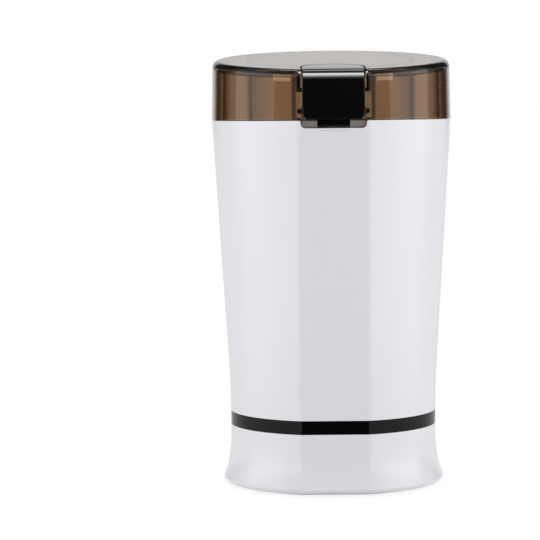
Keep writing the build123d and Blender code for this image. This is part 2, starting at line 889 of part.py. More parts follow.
with BuildPart() as lower_bearing_bracket:
    add(bracket_plate(lower_bracket))
    # plastic towers that hold the brushes
    with BuildSketch(Plane.XY.offset(lower_bracket)):
        Rectangle(tower_width, 2 * brush_reach)
    extrude(amount=bracket_thickness)
    with BuildSketch(Plane.XY.offset(lower_bracket)):
        with GridLocations(0, brush_reach + tower_inner, 1, 2):
            Rectangle(tower_width, brush_reach - tower_inner)
    extrude(amount=tower_top - lower_bracket)
    with BuildSketch(Plane.XZ):
        with Locations((0, brush_floor + brush_height / 2)):
            Rectangle(brush_width + 2 * fit_gap, brush_height + 2 * fit_gap)
    extrude(amount=far, both=True, mode=Mode.SUBTRACT)
    add(ring(cup_radius, cup_radius + cup_wall, lower_bracket, lower_bearing_bottom + bearing_width))
    with BuildSketch(Plane.XY.offset(lower_bracket)):
        Circle(cup_radius - cup_wall)
    extrude(amount=lower_bearing_bottom - lower_bracket, mode=Mode.SUBTRACT)
    with BuildSketch(Plane.XY.offset(lower_bearing_bottom)):
        Circle(cup_radius)
    extrude(amount=bearing_width, mode=Mode.SUBTRACT)
lower_bearing_bracket.part.label = "lower_bearing_bracket"

with BuildPart() as lower_bearing:
    add(bearing(lower_bearing_bottom))
lower_bearing.part.label = "lower_bearing"

with BuildPart() as upper_bearing_bracket:
    add(bracket_plate(upper_bracket))
    add(ring(cup_radius, cup_radius + cup_wall, upper_bracket, upper_bearing_bottom + bearing_width))
    with BuildSketch(Plane.XY.offset(upper_bracket)):
        Circle(cup_radius - cup_wall)
    extrude(amount=bracket_thickness, mode=Mode.SUBTRACT)
upper_bearing_bracket.part.label = "upper_bearing_bracket"

with BuildPart() as upper_bearing:
    add(bearing(upper_bearing_bottom))
upper_bearing.part.label = "upper_bearing"

with BuildPart() as stator_core:
    with BuildSketch(Plane.XY.offset(stator_bottom)):
        RectangleRounded(stator_length, stator_width, stator_corner)
        Circle(stator_bore, mode=Mode.SUBTRACT)
        with GridLocations(bolt_spacing, 0, 2, 1):
            Circle(bolt_radius + fit_gap, mode=Mode.SUBTRACT)
    extrude(amount=stack_height)
    for start in coil_leg_starts:
        window = ring_sector(stator_bottom, stator_bore - air_gap / 2, window_outer, start, window_arc)
        extrude(window, amount=stack_height, mode=Mode.SUBTRACT)
stator_core.part.label = "stator_core"

coil_inner = stator_bore + coil_gap
coil_outer = window_outer - coil_gap
coil_margin = degrees(atan(coil_gap / coil_inner))
with BuildPart() as field_coils:
    for start in coil_leg_starts:
        leg = ring_sector(
            stator_bottom - coil_overhang,
            coil_inner,
            coil_outer,
            start + coil_margin,
            window_arc - 2 * coil_margin,
        )
        extrude(leg, amount=stack_height + 2 * coil_overhang)
    for side in (0, 180):
        for height in (stator_bottom - coil_overhang, stator_top + coil_gap):
            end_turn = ring_sector(
                height,
                coil_inner,
                coil_outer,
                side + window_start + coil_margin,
                180 - 2 * (window_start + coil_margin),
            )
            extrude(end_turn, amount=coil_overhang - coil_gap)
field_coils.part.label = "field_coils"

with BuildPart() as bolt_spacers:
    for low, high in (
        (lower_bracket + bracket_thickness, stator_bottom),
        (stator_top, upper_bracket),
    ):
        with BuildSketch(Plane.XY.offset(low)):
            with GridLocations(bolt_spacing, 0, 2, 1):
                Circle(spacer_radius)
                Circle(bolt_radius + fit_gap, mode=Mode.SUBTRACT)
        extrude(amount=high - low)
bolt_spacers.part.label = "bolt_spacers"

with BuildPart() as motor_dampers:
    with BuildSketch(Plane.XY.offset(upper_bracket + bracket_thickness)):
        with GridLocations(bolt_spacing, 0, 2, 1):
            Circle(spacer_radius + bolt_radius)
            Circle(bolt_radius + fit_gap, mode=Mode.SUBTRACT)
    extrude(amount=carrier_bottom - upper_bracket - bracket_thickness)
motor_dampers.part.label = "motor_dampers"

with BuildPart() as motor_bolts:
    with BuildSketch(Plane.XY.offset(lower_bracket)):
        with GridLocations(bolt_spacing, 0, 2, 1):
            Circle(bolt_radius)
    extrude(amount=carrier_top - lower_bracket)
    with BuildSketch(Plane.XY.offset(lower_bracket - bolt_head)):
        with GridLocations(bolt_spacing, 0, 2, 1):
            RegularPolygon(bolt_head_radius, 6)
    extrude(amount=bolt_head)
    with BuildSketch(Plane.XY.offset(carrier_top)):
        with GridLocations(bolt_spacing, 0, 2, 1):
            RegularPolygon(bolt_head_radius, 6)
    extrude(amount=bolt_head)
motor_bolts.part.label = "motor_bolts"

with BuildPart() as carbon_brushes:
    with BuildSketch(Plane.XY.offset(brush_floor)):
        with GridLocations(0, 2 * brush_tip + brush_length, 1, 2):
            Rectangle(brush_width, brush_length)
    extrude(amount=brush_height)
carbon_brushes.part.label = "carbon_brushes"

with BuildPart() as brush_caps:
    with BuildSketch(Plane.XY.offset(brush_floor - cap_lip)):
        with GridLocations(0, 2 * brush_reach + cap_thickness, 1, 2):
            Rectangle(brush_width + 2 * cap_lip, cap_thickness)
    extrude(amount=brush_height + 2 * cap_lip)
brush_caps.part.label = "brush_caps"

with BuildPart() as brush_springs:
    for side in (1, -1):
        add(
            coil_spring(
                (0, side * (brush_tip + brush_length), brush_floor + brush_height / 2),
                (0, side, 0),
                brush_reach - brush_tip - brush_length,
                brush_spring_radius,
                brush_wire,
                spring_turns,
            )
        )
brush_springs.part.label = "brush_springs"

# ---- spindle: everything that turns

with BuildPart() as rotor_shaft:
    with BuildSketch(Plane.XY.offset(shaft_bottom)):
        Circle(shaft_radius)
    extrude(amount=hub_bottom + hub_height / 2 - shaft_bottom)
    with BuildSketch(Plane.XY.offset(hub_bottom + hub_height / 2)):
        Circle(thread_radius)
    extrude(amount=shaft_top - hub_bottom - hub_height / 2)
rotor_shaft.part.label = "rotor_shaft"

with BuildPart() as rotor_core:
    with BuildSketch(Plane.XY.offset(stator_bottom)):
        Circle(rotor_radius)
        Circle(shaft_radius + fit_gap, mode=Mode.SUBTRACT)
        with PolarLocations(0, rotor_slots):
            with Locations(((slot_floor_radius + rotor_radius) / 2 + slot_width / 2, 0)):
                Rectangle(
                    rotor_radius - slot_floor_radius + slot_width, slot_width, mode=Mode.SUBTRACT
                )
    extrude(amount=stack_height)
rotor_core.part.label = "rotor_core"

with BuildPart() as rotor_windings:
    with BuildSketch(Plane.XY.offset(stator_bottom - winding_overhang)):
        with PolarLocations(0, rotor_slots):
            with Locations(((slot_floor_radius + winding_radius + slot_width) / 2, 0)):
                Rectangle(winding_radius - slot_floor_radius, slot_width - 2 * fit_gap)
    extrude(amount=stack_height + 2 * winding_overhang)
    for low in (stator_bottom - winding_overhang, stator_top + fit_gap):
        add(ring(shaft_radius + shaft_radius, winding_radius, low, low + winding_overhang - fit_gap))
rotor_windings.part.label = "rotor_windings"

with BuildPart() as commutator:
    with BuildSketch(Plane.XY.offset(commutator_bottom)):
        Circle(commutator_radius)
        Circle(shaft_radius + fit_gap, mode=Mode.SUBTRACT)
        with PolarLocations(commutator_radius, rotor_slots):
            Rectangle(commutator_radius / 3, commutator_slit, mode=Mode.SUBTRACT)
    extrude(amount=commutator_height)
commutator.part.label = "commutator"

with BuildPart() as cooling_fan:
    with BuildSketch(Plane.XY.offset(fan_bottom)):
        Circle(fan_hub_radius)
    extrude(amount=fan_height)
    with BuildSketch(Plane.XY.offset(fan_top - fan_disc)):
        Circle(fan_radius)
    extrude(amount=fan_disc)
    with BuildSketch(Plane.XY.offset(fan_bottom)):
        with PolarLocations(0, fan_blades):
            with BuildLine():
                vane = RadiusArc((fan_hub_radius / 2, 0), (fan_radius - fan_rim, -fan_radius / 4), fan_radius)
                offset(vane, amount=fan_blade_thickness / 2)
            make_face()
    extrude(amount=fan_height - fan_disc / 2)
    with BuildSketch(Plane.XY.offset(fan_bottom)):
        Circle(shaft_radius + fit_gap)
    extrude(amount=fan_height, mode=Mode.SUBTRACT)
cooling_fan.part.label = "cooling_fan"

with BuildPart() as blade_hub:
    with BuildSketch(Plane.XY.offset(hub_bottom)):
        Circle(hub_radius)
        Circle(shaft_radius + fit_gap, mode=Mode.SUBTRACT)
    extrude(amount=hub_height)
    chamfer(blade_hub.faces().sort_by(Axis.Z)[0].outer_wire().edges(), hub_height / 4)
blade_hub.part.label = "blade_hub"


def blade_section(distance, twist, rise, width):
    """cross-section of one arm of the blade, with its leading edge ground sharp"""
    middle = blade_bottom + blade_thickness / 2 + rise
    half = blade_thickness / 2
    plane = Plane(origin=(distance, 0, middle), x_dir=(0, 1, 0), z_dir=(1, 0, 0))
    with BuildSketch(plane.rotated((twist, 0, 0))) as section:
        with BuildLine():
            Polyline(
                (-width / 2, -half),
                (width / 2, -half),
                (width / 2, -half + blade_edge),
                (width / 2 - blade_bevel, half),
                (-width / 2, half),
                close=True,
            )
        make_face()
    return section.sketch


with BuildPart() as blade_arm:
    add(blade_section(0, 0, 0, blade_width))
    add(blade_section(blade_disc_radius, 0, 0, blade_width))
    loft(ruled=True)
    add(blade_section(blade_disc_radius, 0, 0, blade_width))
    add(blade_section(blade_reach / 2, -blade_twist / 2, blade_tip_rise / 3, blade_width))
    add(blade_section(blade_reach, -blade_twist, blade_tip_rise, blade_tip_width))
    loft()

with BuildPart() as grinding_blade:
    with BuildSketch(Plane.XY.offset(blade_bottom)):
        Circle(blade_disc_radius)
    extrude(amount=blade_thickness)
    with PolarLocations(0, 2):
        add(blade_arm.part)
    with BuildSketch(Plane.XY.offset(blade_bottom)):
        Circle(thread_radius + fit_gap)
    extrude(amount=2 * blade_thickness, mode=Mode.SUBTRACT)
grinding_blade.part.label = "grinding_blade"

with BuildPart() as blade_nut:
    with BuildSketch(Plane.XY.offset(blade_top)):
        RegularPolygon(nut_radius, 6)
    extrude(amount=nut_hex_height)
    with BuildSketch(Plane.XZ):
        with BuildLine():
            Polyline(
                (0, nut_crown),
                (0, blade_top + nut_hex_height / 2),
                (nut_dome_radius, blade_top + nut_hex_height / 2),
                (nut_dome_radius, blade_top + nut_hex_height),
            )
            RadiusArc(
                (nut_dome_radius, blade_top + nut_hex_height),
                (0, nut_crown),
                -(nut_dome_radius**2 + nut_dome_height**2) / (2 * nut_dome_height),
            )
        make_face()
    revolve(axis=Axis.Z)
    with BuildSketch(Plane.XY.offset(blade_top)):
        Circle(thread_radius + fit_gap)
    extrude(amount=nut_hex_height, mode=Mode.SUBTRACT)
blade_nut.part.label = "blade_nut"

# ---- lid


def button_plan(height, grown, front):
    """plan of the button grown by a margin: straight sides from the front and a round back end"""
    half = button_half_width + grown
    with BuildSketch(Plane.XY.offset(height)) as plan:
        with Locations((0, -button_arc_centre)):
            Circle(half)
        with Locations((0, -(button_arc_centre + front) / 2)):
            Rectangle(2 * half, front - button_arc_centre)
    return plan.sketch


with BuildPart() as lid_inside:
    # skirt that dips into the bowl's mouth
    add(ring(skirt_radius - skirt_wall, skirt_radius, skirt_bottom, lid_top_reference))
    # walls of the button's pocket
    add(block(pocket_half_width + pocket_wall, far, pocket_back_wall, lid_bottom, lid_top_reference))
    extrude(
        button_plan(pocket_floor - pocket_wall, button_gap + pocket_wall, far),
        amount=lid_top_reference - pocket_floor,
    )
    add(lid_form(lid_wall / 2, lid_top_wall / 2, skirt_bottom), mode=Mode.INTERSECT)

with BuildPart() as lid_tab:
    with BuildSketch(Plane.XZ.offset(tab_front)) as tab_outline:
        with BuildLine():
            Polyline(
                (-pocket_half_width - pocket_wall / 2, tab_top),
                (-pocket_half_width - pocket_wall / 2, lid_bottom),
                (-notch_half_width + free_gap, lid_bottom),
                (-notch_half_width + free_gap, seam_height - notch_depth + free_gap),
                (notch_half_width - free_gap, seam_height - notch_depth + free_gap),
                (notch_half_width - free_gap, lid_bottom),
                (pocket_half_width + pocket_wall / 2, lid_bottom),
                (pocket_half_width + pocket_wall / 2, tab_top),
                close=True,
            )
        make_face()
        fillet(tab_outline.vertices().group_by(Axis.Y)[0], notch_corner - free_gap)
    extrude(amount=-tab_thickness)
    # slot for the button's stem
    add(
        block(stem_half_width + free_gap, far, 0, seam_height - notch_depth, tab_top),
        mode=Mode.SUBTRACT,
    )

with BuildPart() as lid:
    add(lid_form(0, 0, lid_bottom, softened=True))
    add(lid_form(lid_wall, lid_top_wall, lid_bottom), mode=Mode.SUBTRACT)
    add(lid_inside.part)
    # the pocket itself
    extrude(
        button_plan(pocket_floor, button_gap, far),
        amount=lid_top_reference - pocket_floor,
        mode=Mode.SUBTRACT,
    )
    add(
        block(pocket_half_width, far, pocket_back, skirt_bottom, lid_top_reference),
        mode=Mode.SUBTRACT,
    )
    add(lid_tab.part)
    # windows for the hooks of the button guide
    add(hook_row(hook_width / 2 + fit_gap, hook_height + 2 * fit_gap), mode=Mode.SUBTRACT)
    # groove for the seal
    add(
        ring(
            skirt_radius - lid_seal_thickness + lid_seal_gap,
            skirt_radius + lid_seal_gap,
            lid_seal_height - lid_seal_thickness / 2 - fit_gap,
            lid_seal_height + lid_seal_thickness / 2 + fit_gap,
        ),
        mode=Mode.SUBTRACT,
    )
lid.part.label = "lid"

with BuildPart() as lid_seal:
    with BuildSketch(Plane.XZ):
        with Locations((bowl_radius - lid_seal_gap - lid_seal_thickness / 2, lid_seal_height)):
            Circle(lid_seal_thickness / 2)
    revolve(axis=Axis.Z)
lid_seal.part.label = "lid_seal"

with BuildPart() as button_guide:
    add(
        block(
            pocket_half_width - fit_gap,
            guide_front,
            pocket_back + fit_gap,
            guide_bottom,
            guide_top,
        )
    )
    add(hook_row(hook_width / 2, hook_height))
    add(
        block(
            rib_half_width + free_gap,
            rib_front + free_gap,
            rib_back - free_gap,
            guide_bottom,
            guide_top,
        ),
        mode=Mode.SUBTRACT,
    )
    with BuildSketch(Plane.XY.offset(guide_bottom)):
        with Locations((0, -post_line)):
            with GridLocations(2 * post_offset, 0, 2, 1):
                Circle(post_radius + fit_gap)
    extrude(amount=guide_thickness, mode=Mode.SUBTRACT)
button_guide.part.label = "button_guide"

spring_top_line = post_line + button_spring_radius + 2 * button_wire
button_ceiling = lid_height(spring_top_line) - button_top_wall / cos(radians(lid_slope))
with BuildPart() as button_springs:
    for side in (1, -1):
        add(
            coil_spring(
                (side * post_offset, -post_line, guide_top),
                (0, 0, 1),
                button_ceiling - guide_top,
                button_spring_radius,
                button_wire,
                spring_turns,
            )
        )
button_springs.part.label = "button_springs"

# ---- button

with BuildPart() as button_hollow:
    extrude(
        button_plan(pocket_floor, -button_skirt, button_front - button_thickness),
        amount=lid_top_reference - pocket_floor,
    )
    split(bisect_by=lid_plane(button_top_wall), keep=Keep.BOTTOM)

with BuildPart() as button_core:
    # stem, its rib and the two guide posts, up into the top
    add(block(stem_half_width, stem_front, stem_back, stem_bottom, tab_top))
    add(block(rib_half_width, rib_front, rib_back, tab_top, lid_top_reference))
    with BuildSketch(Plane.XY.offset(post_bottom)):
        with Locations((0, -post_line)):
            with GridLocations(2 * post_offset, 0, 2, 1):
                Circle(post_radius)
    extrude(amount=lid_top_reference - post_bottom)
    split(bisect_by=lid_plane(button_top_wall / 2), keep=Keep.BOTTOM)

with BuildPart() as press_button:
    extrude(
        button_plan(button_skirt_bottom, 0, button_front),
        amount=lid_top_reference - button_skirt_bottom,
    )
    with BuildSketch(Plane.XZ.offset(button_front)):
        with Locations((0, button_bottom)):
            front_plate = Rectangle(
                2 * button_half_width,
                lid_top_reference - button_bottom,
                align=(Align.CENTER, Align.MIN),
            )
        fillet(front_plate.vertices().group_by(Axis.Y)[0], button_corner)
    extrude(amount=-button_thickness)
    split(bisect_by=lid_plane(0), keep=Keep.BOTTOM)
    top_face = press_button.faces().sort_by(Axis.Z)[-1]
    top_front = top_face.edges().sort_by(Axis.Y)[0]
    fillet(top_front, button_front_edge)
    front_rim = press_button.faces().sort_by(Axis.Y)[0].edges().sort_by(Axis.Z)[:-1]
    fillet(front_rim, button_rim_edge)
    add(button_hollow.part, mode=Mode.SUBTRACT)
    add(button_core.part)
press_button.part.label = "press_button"

# ---- switch under the deck

with BuildPart() as switch_guide:
    add(block(switch_guide_half_width, far, switch_guide_back, switch_bottom, deck_bottom))
    add(housing_form(shell_wall + fit_gap, switch_bottom, deck_bottom), mode=Mode.INTERSECT)
    add(
        block(
            stem_half_width + button_gap,
            far,
            plunger_head_back - free_gap,
            spring_chamber_top,
            deck_bottom,
        ),
        mode=Mode.SUBTRACT,
    )
    add(
        block(switch_half_width + fit_gap, far, 0, switch_bottom, switch_top + fit_gap),
        mode=Mode.SUBTRACT,
    )
    with BuildSketch(Plane.XY.offset(spring_floor)):
        with Locations((0, -plunger_line)):
            Circle(spring_chamber_radius)
    extrude(amount=deck_bottom - spring_floor, mode=Mode.SUBTRACT)
    with BuildSketch(Plane.XY.offset(switch_top)):
        with Locations((0, -plunger_line)):
            Circle(plunger_radius + fit_gap)
    extrude(amount=spring_floor - switch_top, mode=Mode.SUBTRACT)
switch_guide.part.label = "switch_guide"

with BuildPart() as microswitch:
    add(block(switch_half_width, switch_front, switch_back, switch_bottom, switch_top))
    with BuildSketch(Plane.XY.offset(switch_top)):
        with Locations((0, -plunger_line)):
            Circle(plunger_radius + free_gap)
    extrude(amount=-switch_bore_depth, mode=Mode.SUBTRACT)
microswitch.part.label = "microswitch"

with BuildPart() as switch_terminals:
    with BuildSketch(Plane.XY.offset(switch_bottom)):
        with Locations((0, -(switch_front + switch_back) / 2)):
            with GridLocations(switch_half_width, 0, 2, 1):
                Rectangle(terminal_thickness, terminal_width)
    extrude(amount=-terminal_length)
switch_terminals.part.label = "switch_terminals"

with BuildPart() as switch_plunger:
    add(
        block(
            plunger_half_width,
            plunger_head_front,
            plunger_head_back,
            plunger_head_bottom,
            plunger_top,
        )
    )
    with BuildSketch(Plane.XY.offset(plunger_bottom)):
        with Locations((0, -plunger_line)):
            Circle(plunger_radius)
    extrude(amount=plunger_top - plunger_head_height / 2 - plunger_bottom)
switch_plunger.part.label = "switch_plunger"

with BuildPart() as plunger_spring:
    add(
        coil_spring(
            (0, -plunger_line, spring_floor),
            (0, 0, 1),
            plunger_head_bottom - spring_floor,
            plunger_spring_radius,
            plunger_wire,
            spring_turns,
        )
    )
plunger_spring.part.label = "plunger_spring"

# ---- one STEP file for each piece

os.makedirs("parts", exist_ok=True)
for piece in (
    body_shell, trim_ring, base_shell, bottom_cover, rubber_feet, base_screws,
    cord_gland, cord_clamp, clamp_screws, top_deck, grinding_bowl, bowl_gasket, shaft_seal,
    motor_carrier, carrier_screws, lower_bearing_bracket, lower_bearing, upper_bearing_bracket,
    upper_bearing, stator_core, field_coils, bolt_spacers, motor_dampers, motor_bolts,
    carbon_brushes, brush_caps, brush_springs, rotor_shaft, rotor_core, rotor_windings,
    commutator, cooling_fan, blade_hub, grinding_blade, blade_nut, lid, lid_seal, button_guide,
    button_springs, press_button, switch_guide, microswitch, switch_terminals, switch_plunger,
    plunger_spring,
):
    export_step(piece.part, f"parts/{piece.part.label}.step")
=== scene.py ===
# Electric spice grinder: finishes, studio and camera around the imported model.
import bpy
import bmesh
import json
import math
from mathutils import Matrix, Vector


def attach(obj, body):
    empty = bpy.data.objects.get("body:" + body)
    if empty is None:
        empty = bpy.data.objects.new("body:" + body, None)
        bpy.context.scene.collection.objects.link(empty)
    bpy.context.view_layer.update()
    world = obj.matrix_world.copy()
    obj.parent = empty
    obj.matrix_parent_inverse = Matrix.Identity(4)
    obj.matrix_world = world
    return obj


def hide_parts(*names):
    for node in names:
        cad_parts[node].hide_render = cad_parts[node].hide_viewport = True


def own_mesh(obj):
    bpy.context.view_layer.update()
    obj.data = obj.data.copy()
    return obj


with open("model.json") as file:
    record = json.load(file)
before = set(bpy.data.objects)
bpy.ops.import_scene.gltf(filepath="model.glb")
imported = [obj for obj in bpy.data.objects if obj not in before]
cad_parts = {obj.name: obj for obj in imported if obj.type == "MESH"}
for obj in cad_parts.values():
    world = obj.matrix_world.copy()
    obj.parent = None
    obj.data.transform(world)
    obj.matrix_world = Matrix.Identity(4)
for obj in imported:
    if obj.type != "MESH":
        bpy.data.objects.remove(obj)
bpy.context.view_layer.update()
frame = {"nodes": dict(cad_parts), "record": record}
print("frame loaded:", len(frame["nodes"]), "nodes")


# small helpers for node trees
def addNode(tree, kind, **settings):
    item = tree.nodes.new(kind)
    for key, value in settings.items():
        setattr(item, key, value)
    return item


def wire(tree, source, target):
    tree.links.new(source, target)


def mathNode(tree, operation, first, second=None, clamp=False):
    item = addNode(tree, "ShaderNodeMath", operation=operation, use_clamp=clamp)
    for socket, value in zip(item.inputs, (first, second)):
        if value is None:
            continue
        if isinstance(value, (int, float)):
            socket.default_value = value
        else:
            wire(tree, value, socket)
    return item.outputs[0]


def mixColors(tree, factor, first, second, blend="MIX"):
    item = addNode(tree, "ShaderNodeMix", data_type="RGBA", blend_type=blend)
    for socket, value in ((item.inputs[0], factor), (item.inputs[6], first), (item.inputs[7], second)):
        if isinstance(value, (int, float)):
            socket.default_value = value
        elif isinstance(value, tuple):
            socket.default_value = (*value, 1.0)
        else:
            wire(tree, value, socket)
    return item.outputs[2]


def noiseNode(tree, vector, scale, detail=2.0, roughness=0.5):
    item = addNode(tree, "ShaderNodeTexNoise")
    item.inputs["Detail"].default_value = detail
    item.inputs["Roughness"].default_value = roughness
    wire(tree, vector, item.inputs["Vector"])
    if isinstance(scale, (int, float)):
        item.inputs["Scale"].default_value = scale
    else:
        wire(tree, scale, item.inputs["Scale"])
    return item.outputs[0]


def startGroup(name, inputs, outputs):
    tree = bpy.data.node_groups.new(name, "ShaderNodeTree")
    for label, value in inputs.items():
        kind = "NodeSocketColor" if isinstance(value, tuple) else "NodeSocketFloat"
        socket = tree.interface.new_socket(name=label, in_out="INPUT", socket_type=kind)
        socket.default_value = (*value, 1.0) if isinstance(value, tuple) else value
    for label, kind in outputs.items():
        tree.interface.new_socket(name=label, in_out="OUTPUT", socket_type=kind)
    return tree, tree.nodes.new("NodeGroupInput").outputs, tree.nodes.new("NodeGroupOutput").inputs


surfaceOutputs = {
    "Color": "NodeSocketColor",
    "Roughness": "NodeSocketFloat",
    "Height": "NodeSocketFloat",
}


def varied(tree, base, spread, noise):
    # base plus or minus half the spread
    offset = mathNode(tree, "SUBTRACT", noise, 0.5)
    return mathNode(tree, "ADD", base, mathNode(tree, "MULTIPLY", offset, spread), clamp=True)


# injection-moulded plastic: faint flow mottle and a fine skin
def buildMouldedSkin():
    tree, given, result = startGroup(
        "Moulded Skin",
        {
            "Color": (0.8, 0.8, 0.8),
            "Flow Color": (0.78, 0.78, 0.78),
            "Flow Scale": 30.0,
            "Grain Scale": 1500.0,
            "Handling Ratio": 4.0,
            "Roughness": 0.3,
            "Roughness Spread": 0.1,
        },
        surfaceOutputs,
    )
    place = addNode(tree, "ShaderNodeTexCoord").outputs["Object"]
    flow = noiseNode(tree, place, given["Flow Scale"], detail=3.0)
    grain = noiseNode(tree, place, given["Grain Scale"])
    handledScale = mathNode(tree, "MULTIPLY", given["Flow Scale"], given["Handling Ratio"])
    handled = noiseNode(tree, place, handledScale, detail=4.0)
    wire(tree, mixColors(tree, flow, given["Color"], given["Flow Color"]), result["Color"])
    wire(tree, varied(tree, given["Roughness"], given["Roughness Spread"], handled), result["Roughness"])
    wire(tree, grain, result["Height"])
    return tree


# turned or polished metal: rings about the motor's axis
def buildTurnedMetal():
    tree, given, result = startGroup(
        "Turned Metal",
        {
            "Color": (0.6, 0.6, 0.6),
            "Ring Color": (0.5, 0.5, 0.5),
            "Ring Scale": 900.0,
            "Ring Drift": 0.002,
            "Cloud Scale": 60.0,
            "Roughness": 0.25,
            "Roughness Spread": 0.15,
        },
        surfaceOutputs,
    )
    place = addNode(tree, "ShaderNodeTexCoord").outputs["Object"]
    split = addNode(tree, "ShaderNodeSeparateXYZ")
    wire(tree, place, split.inputs[0])
    squared = [mathNode(tree, "MULTIPLY", split.outputs[axis], split.outputs[axis]) for axis in (0, 1)]
    reach = mathNode(tree, "SQRT", mathNode(tree, "ADD", squared[0], squared[1]))
    angle = mathNode(tree, "ARCTAN2", split.outputs[1], split.outputs[0])
    joined = addNode(tree, "ShaderNodeCombineXYZ")
    wire(tree, reach, joined.inputs[0])
    wire(tree, split.outputs[2], joined.inputs[1])
    wire(tree, mathNode(tree, "MULTIPLY", angle, given["Ring Drift"]), joined.inputs[2])
    rings = noiseNode(tree, joined.outputs[0], given["Ring Scale"], detail=4.0, roughness=0.6)
    cloud = noiseNode(tree, place, given["Cloud Scale"], detail=3.0)
    streak = mathNode(tree, "MULTIPLY", mathNode(tree, "ADD", rings, cloud), 0.5)
    wire(tree, mixColors(tree, streak, given["Color"], given["Ring Color"]), result["Color"])
    wire(tree, varied(tree, given["Roughness"], given["Roughness Spread"], streak), result["Roughness"])
    wire(tree, rings, result["Height"])
    return tree


scratchStretch = (1.0, 0.04, 0.3)  # how fast the scratches change along each axis


# ground or drawn metal: scratches that run along Y
def buildGroundMetal():
    tree, given, result = startGroup(
        "Ground Metal",
        {
            "Color": (0.6, 0.6, 0.6),
            "Scratch Color": (0.45, 0.45, 0.45),
            "Scratch Scale": 700.0,
            "Roughness": 0.25,
            "Roughness Spread": 0.2,
        },
        surfaceOutputs,
    )
    place = addNode(tree, "ShaderNodeTexCoord").outputs["Object"]
    stretch = addNode(tree, "ShaderNodeMapping")
    stretch.inputs["Scale"].default_value = scratchStretch
    wire(tree, place, stretch.inputs[0])
    scratches = noiseNode(tree, stretch.outputs[0], given["Scratch Scale"], detail=5.0, roughness=0.7)
    wire(tree, mixColors(tree, scratches, given["Color"], given["Scratch Color"]), result["Color"])
    wire(tree, varied(tree, given["Roughness"], given["Roughness Spread"], scratches), result["Roughness"])
    wire(tree, scratches, result["Height"])
    return tree


# stacked sheets or lying wires: fine bands with an uneven colour
def buildBanded():
    tree, given, result = startGroup(
        "Banded",
        {
            "Color": (0.5, 0.5, 0.5),
            "Groove Color": (0.2, 0.2, 0.2),
            "Band Scale": 600.0,
            "Wander": 0.5,
            "Cloud Scale": 300.0,
            "Roughness": 0.4,
            "Roughness Spread": 0.2,
        },
        surfaceOutputs,
    )
    place = addNode(tree, "ShaderNodeTexCoord").outputs["Object"]
    bands = addNode(tree, "ShaderNodeTexWave", wave_type="BANDS", bands_direction="Z")
    bands.inputs["Detail"].default_value = 1.0
    wire(tree, place, bands.inputs["Vector"])
    wire(tree, given["Band Scale"], bands.inputs["Scale"])
    wire(tree, given["Wander"], bands.inputs["Distortion"])
    cloud = noiseNode(tree, place, given["Cloud Scale"], detail=3.0)
    depth = mathNode(tree, "MULTIPLY", bands.outputs["Fac"], mathNode(tree, "ADD", cloud, 0.5), clamp=True)
    wire(tree, mixColors(tree, depth, given["Groove Color"], given["Color"]), result["Color"])
    wire(tree, varied(tree, given["Roughness"], given["Roughness Spread"], cloud), result["Roughness"])
    wire(tree, bands.outputs["Fac"], result["Height"])
    return tree


# rubbed edges: where the rounded normal leaves the real one
def buildEdgeRub():
    tree, given, result = startGroup(
        "Edge Rub",
        {"Reach": 0.0006, "Amount": 1.0, "Gain": 6.0, "Patch Scale": 300.0},
        {"Mask": "NodeSocketFloat"},
    )
    rounded = addNode(tree, "ShaderNodeBevel", samples=4)
    wire(tree, given["Reach"], rounded.inputs["Radius"])
    real = addNode(tree, "ShaderNodeNewGeometry").outputs["Normal"]
    dot = addNode(tree, "ShaderNodeVectorMath", operation="DOT_PRODUCT")
    wire(tree, rounded.outputs[0], dot.inputs[0])
    wire(tree, real, dot.inputs[1])
    turned = mathNode(tree, "SUBTRACT", 1.0, dot.outputs["Value"])
    place = addNode(tree, "ShaderNodeTexCoord").outputs["Object"]
    patches = noiseNode(tree, place, given["Patch Scale"], detail=4.0, roughness=0.6)
    mask = mathNode(tree, "MULTIPLY", mathNode(tree, "MULTIPLY", turned, given["Gain"]), patches)
    wire(tree, mathNode(tree, "MULTIPLY", mask, given["Amount"], clamp=True), result["Mask"])
    return tree


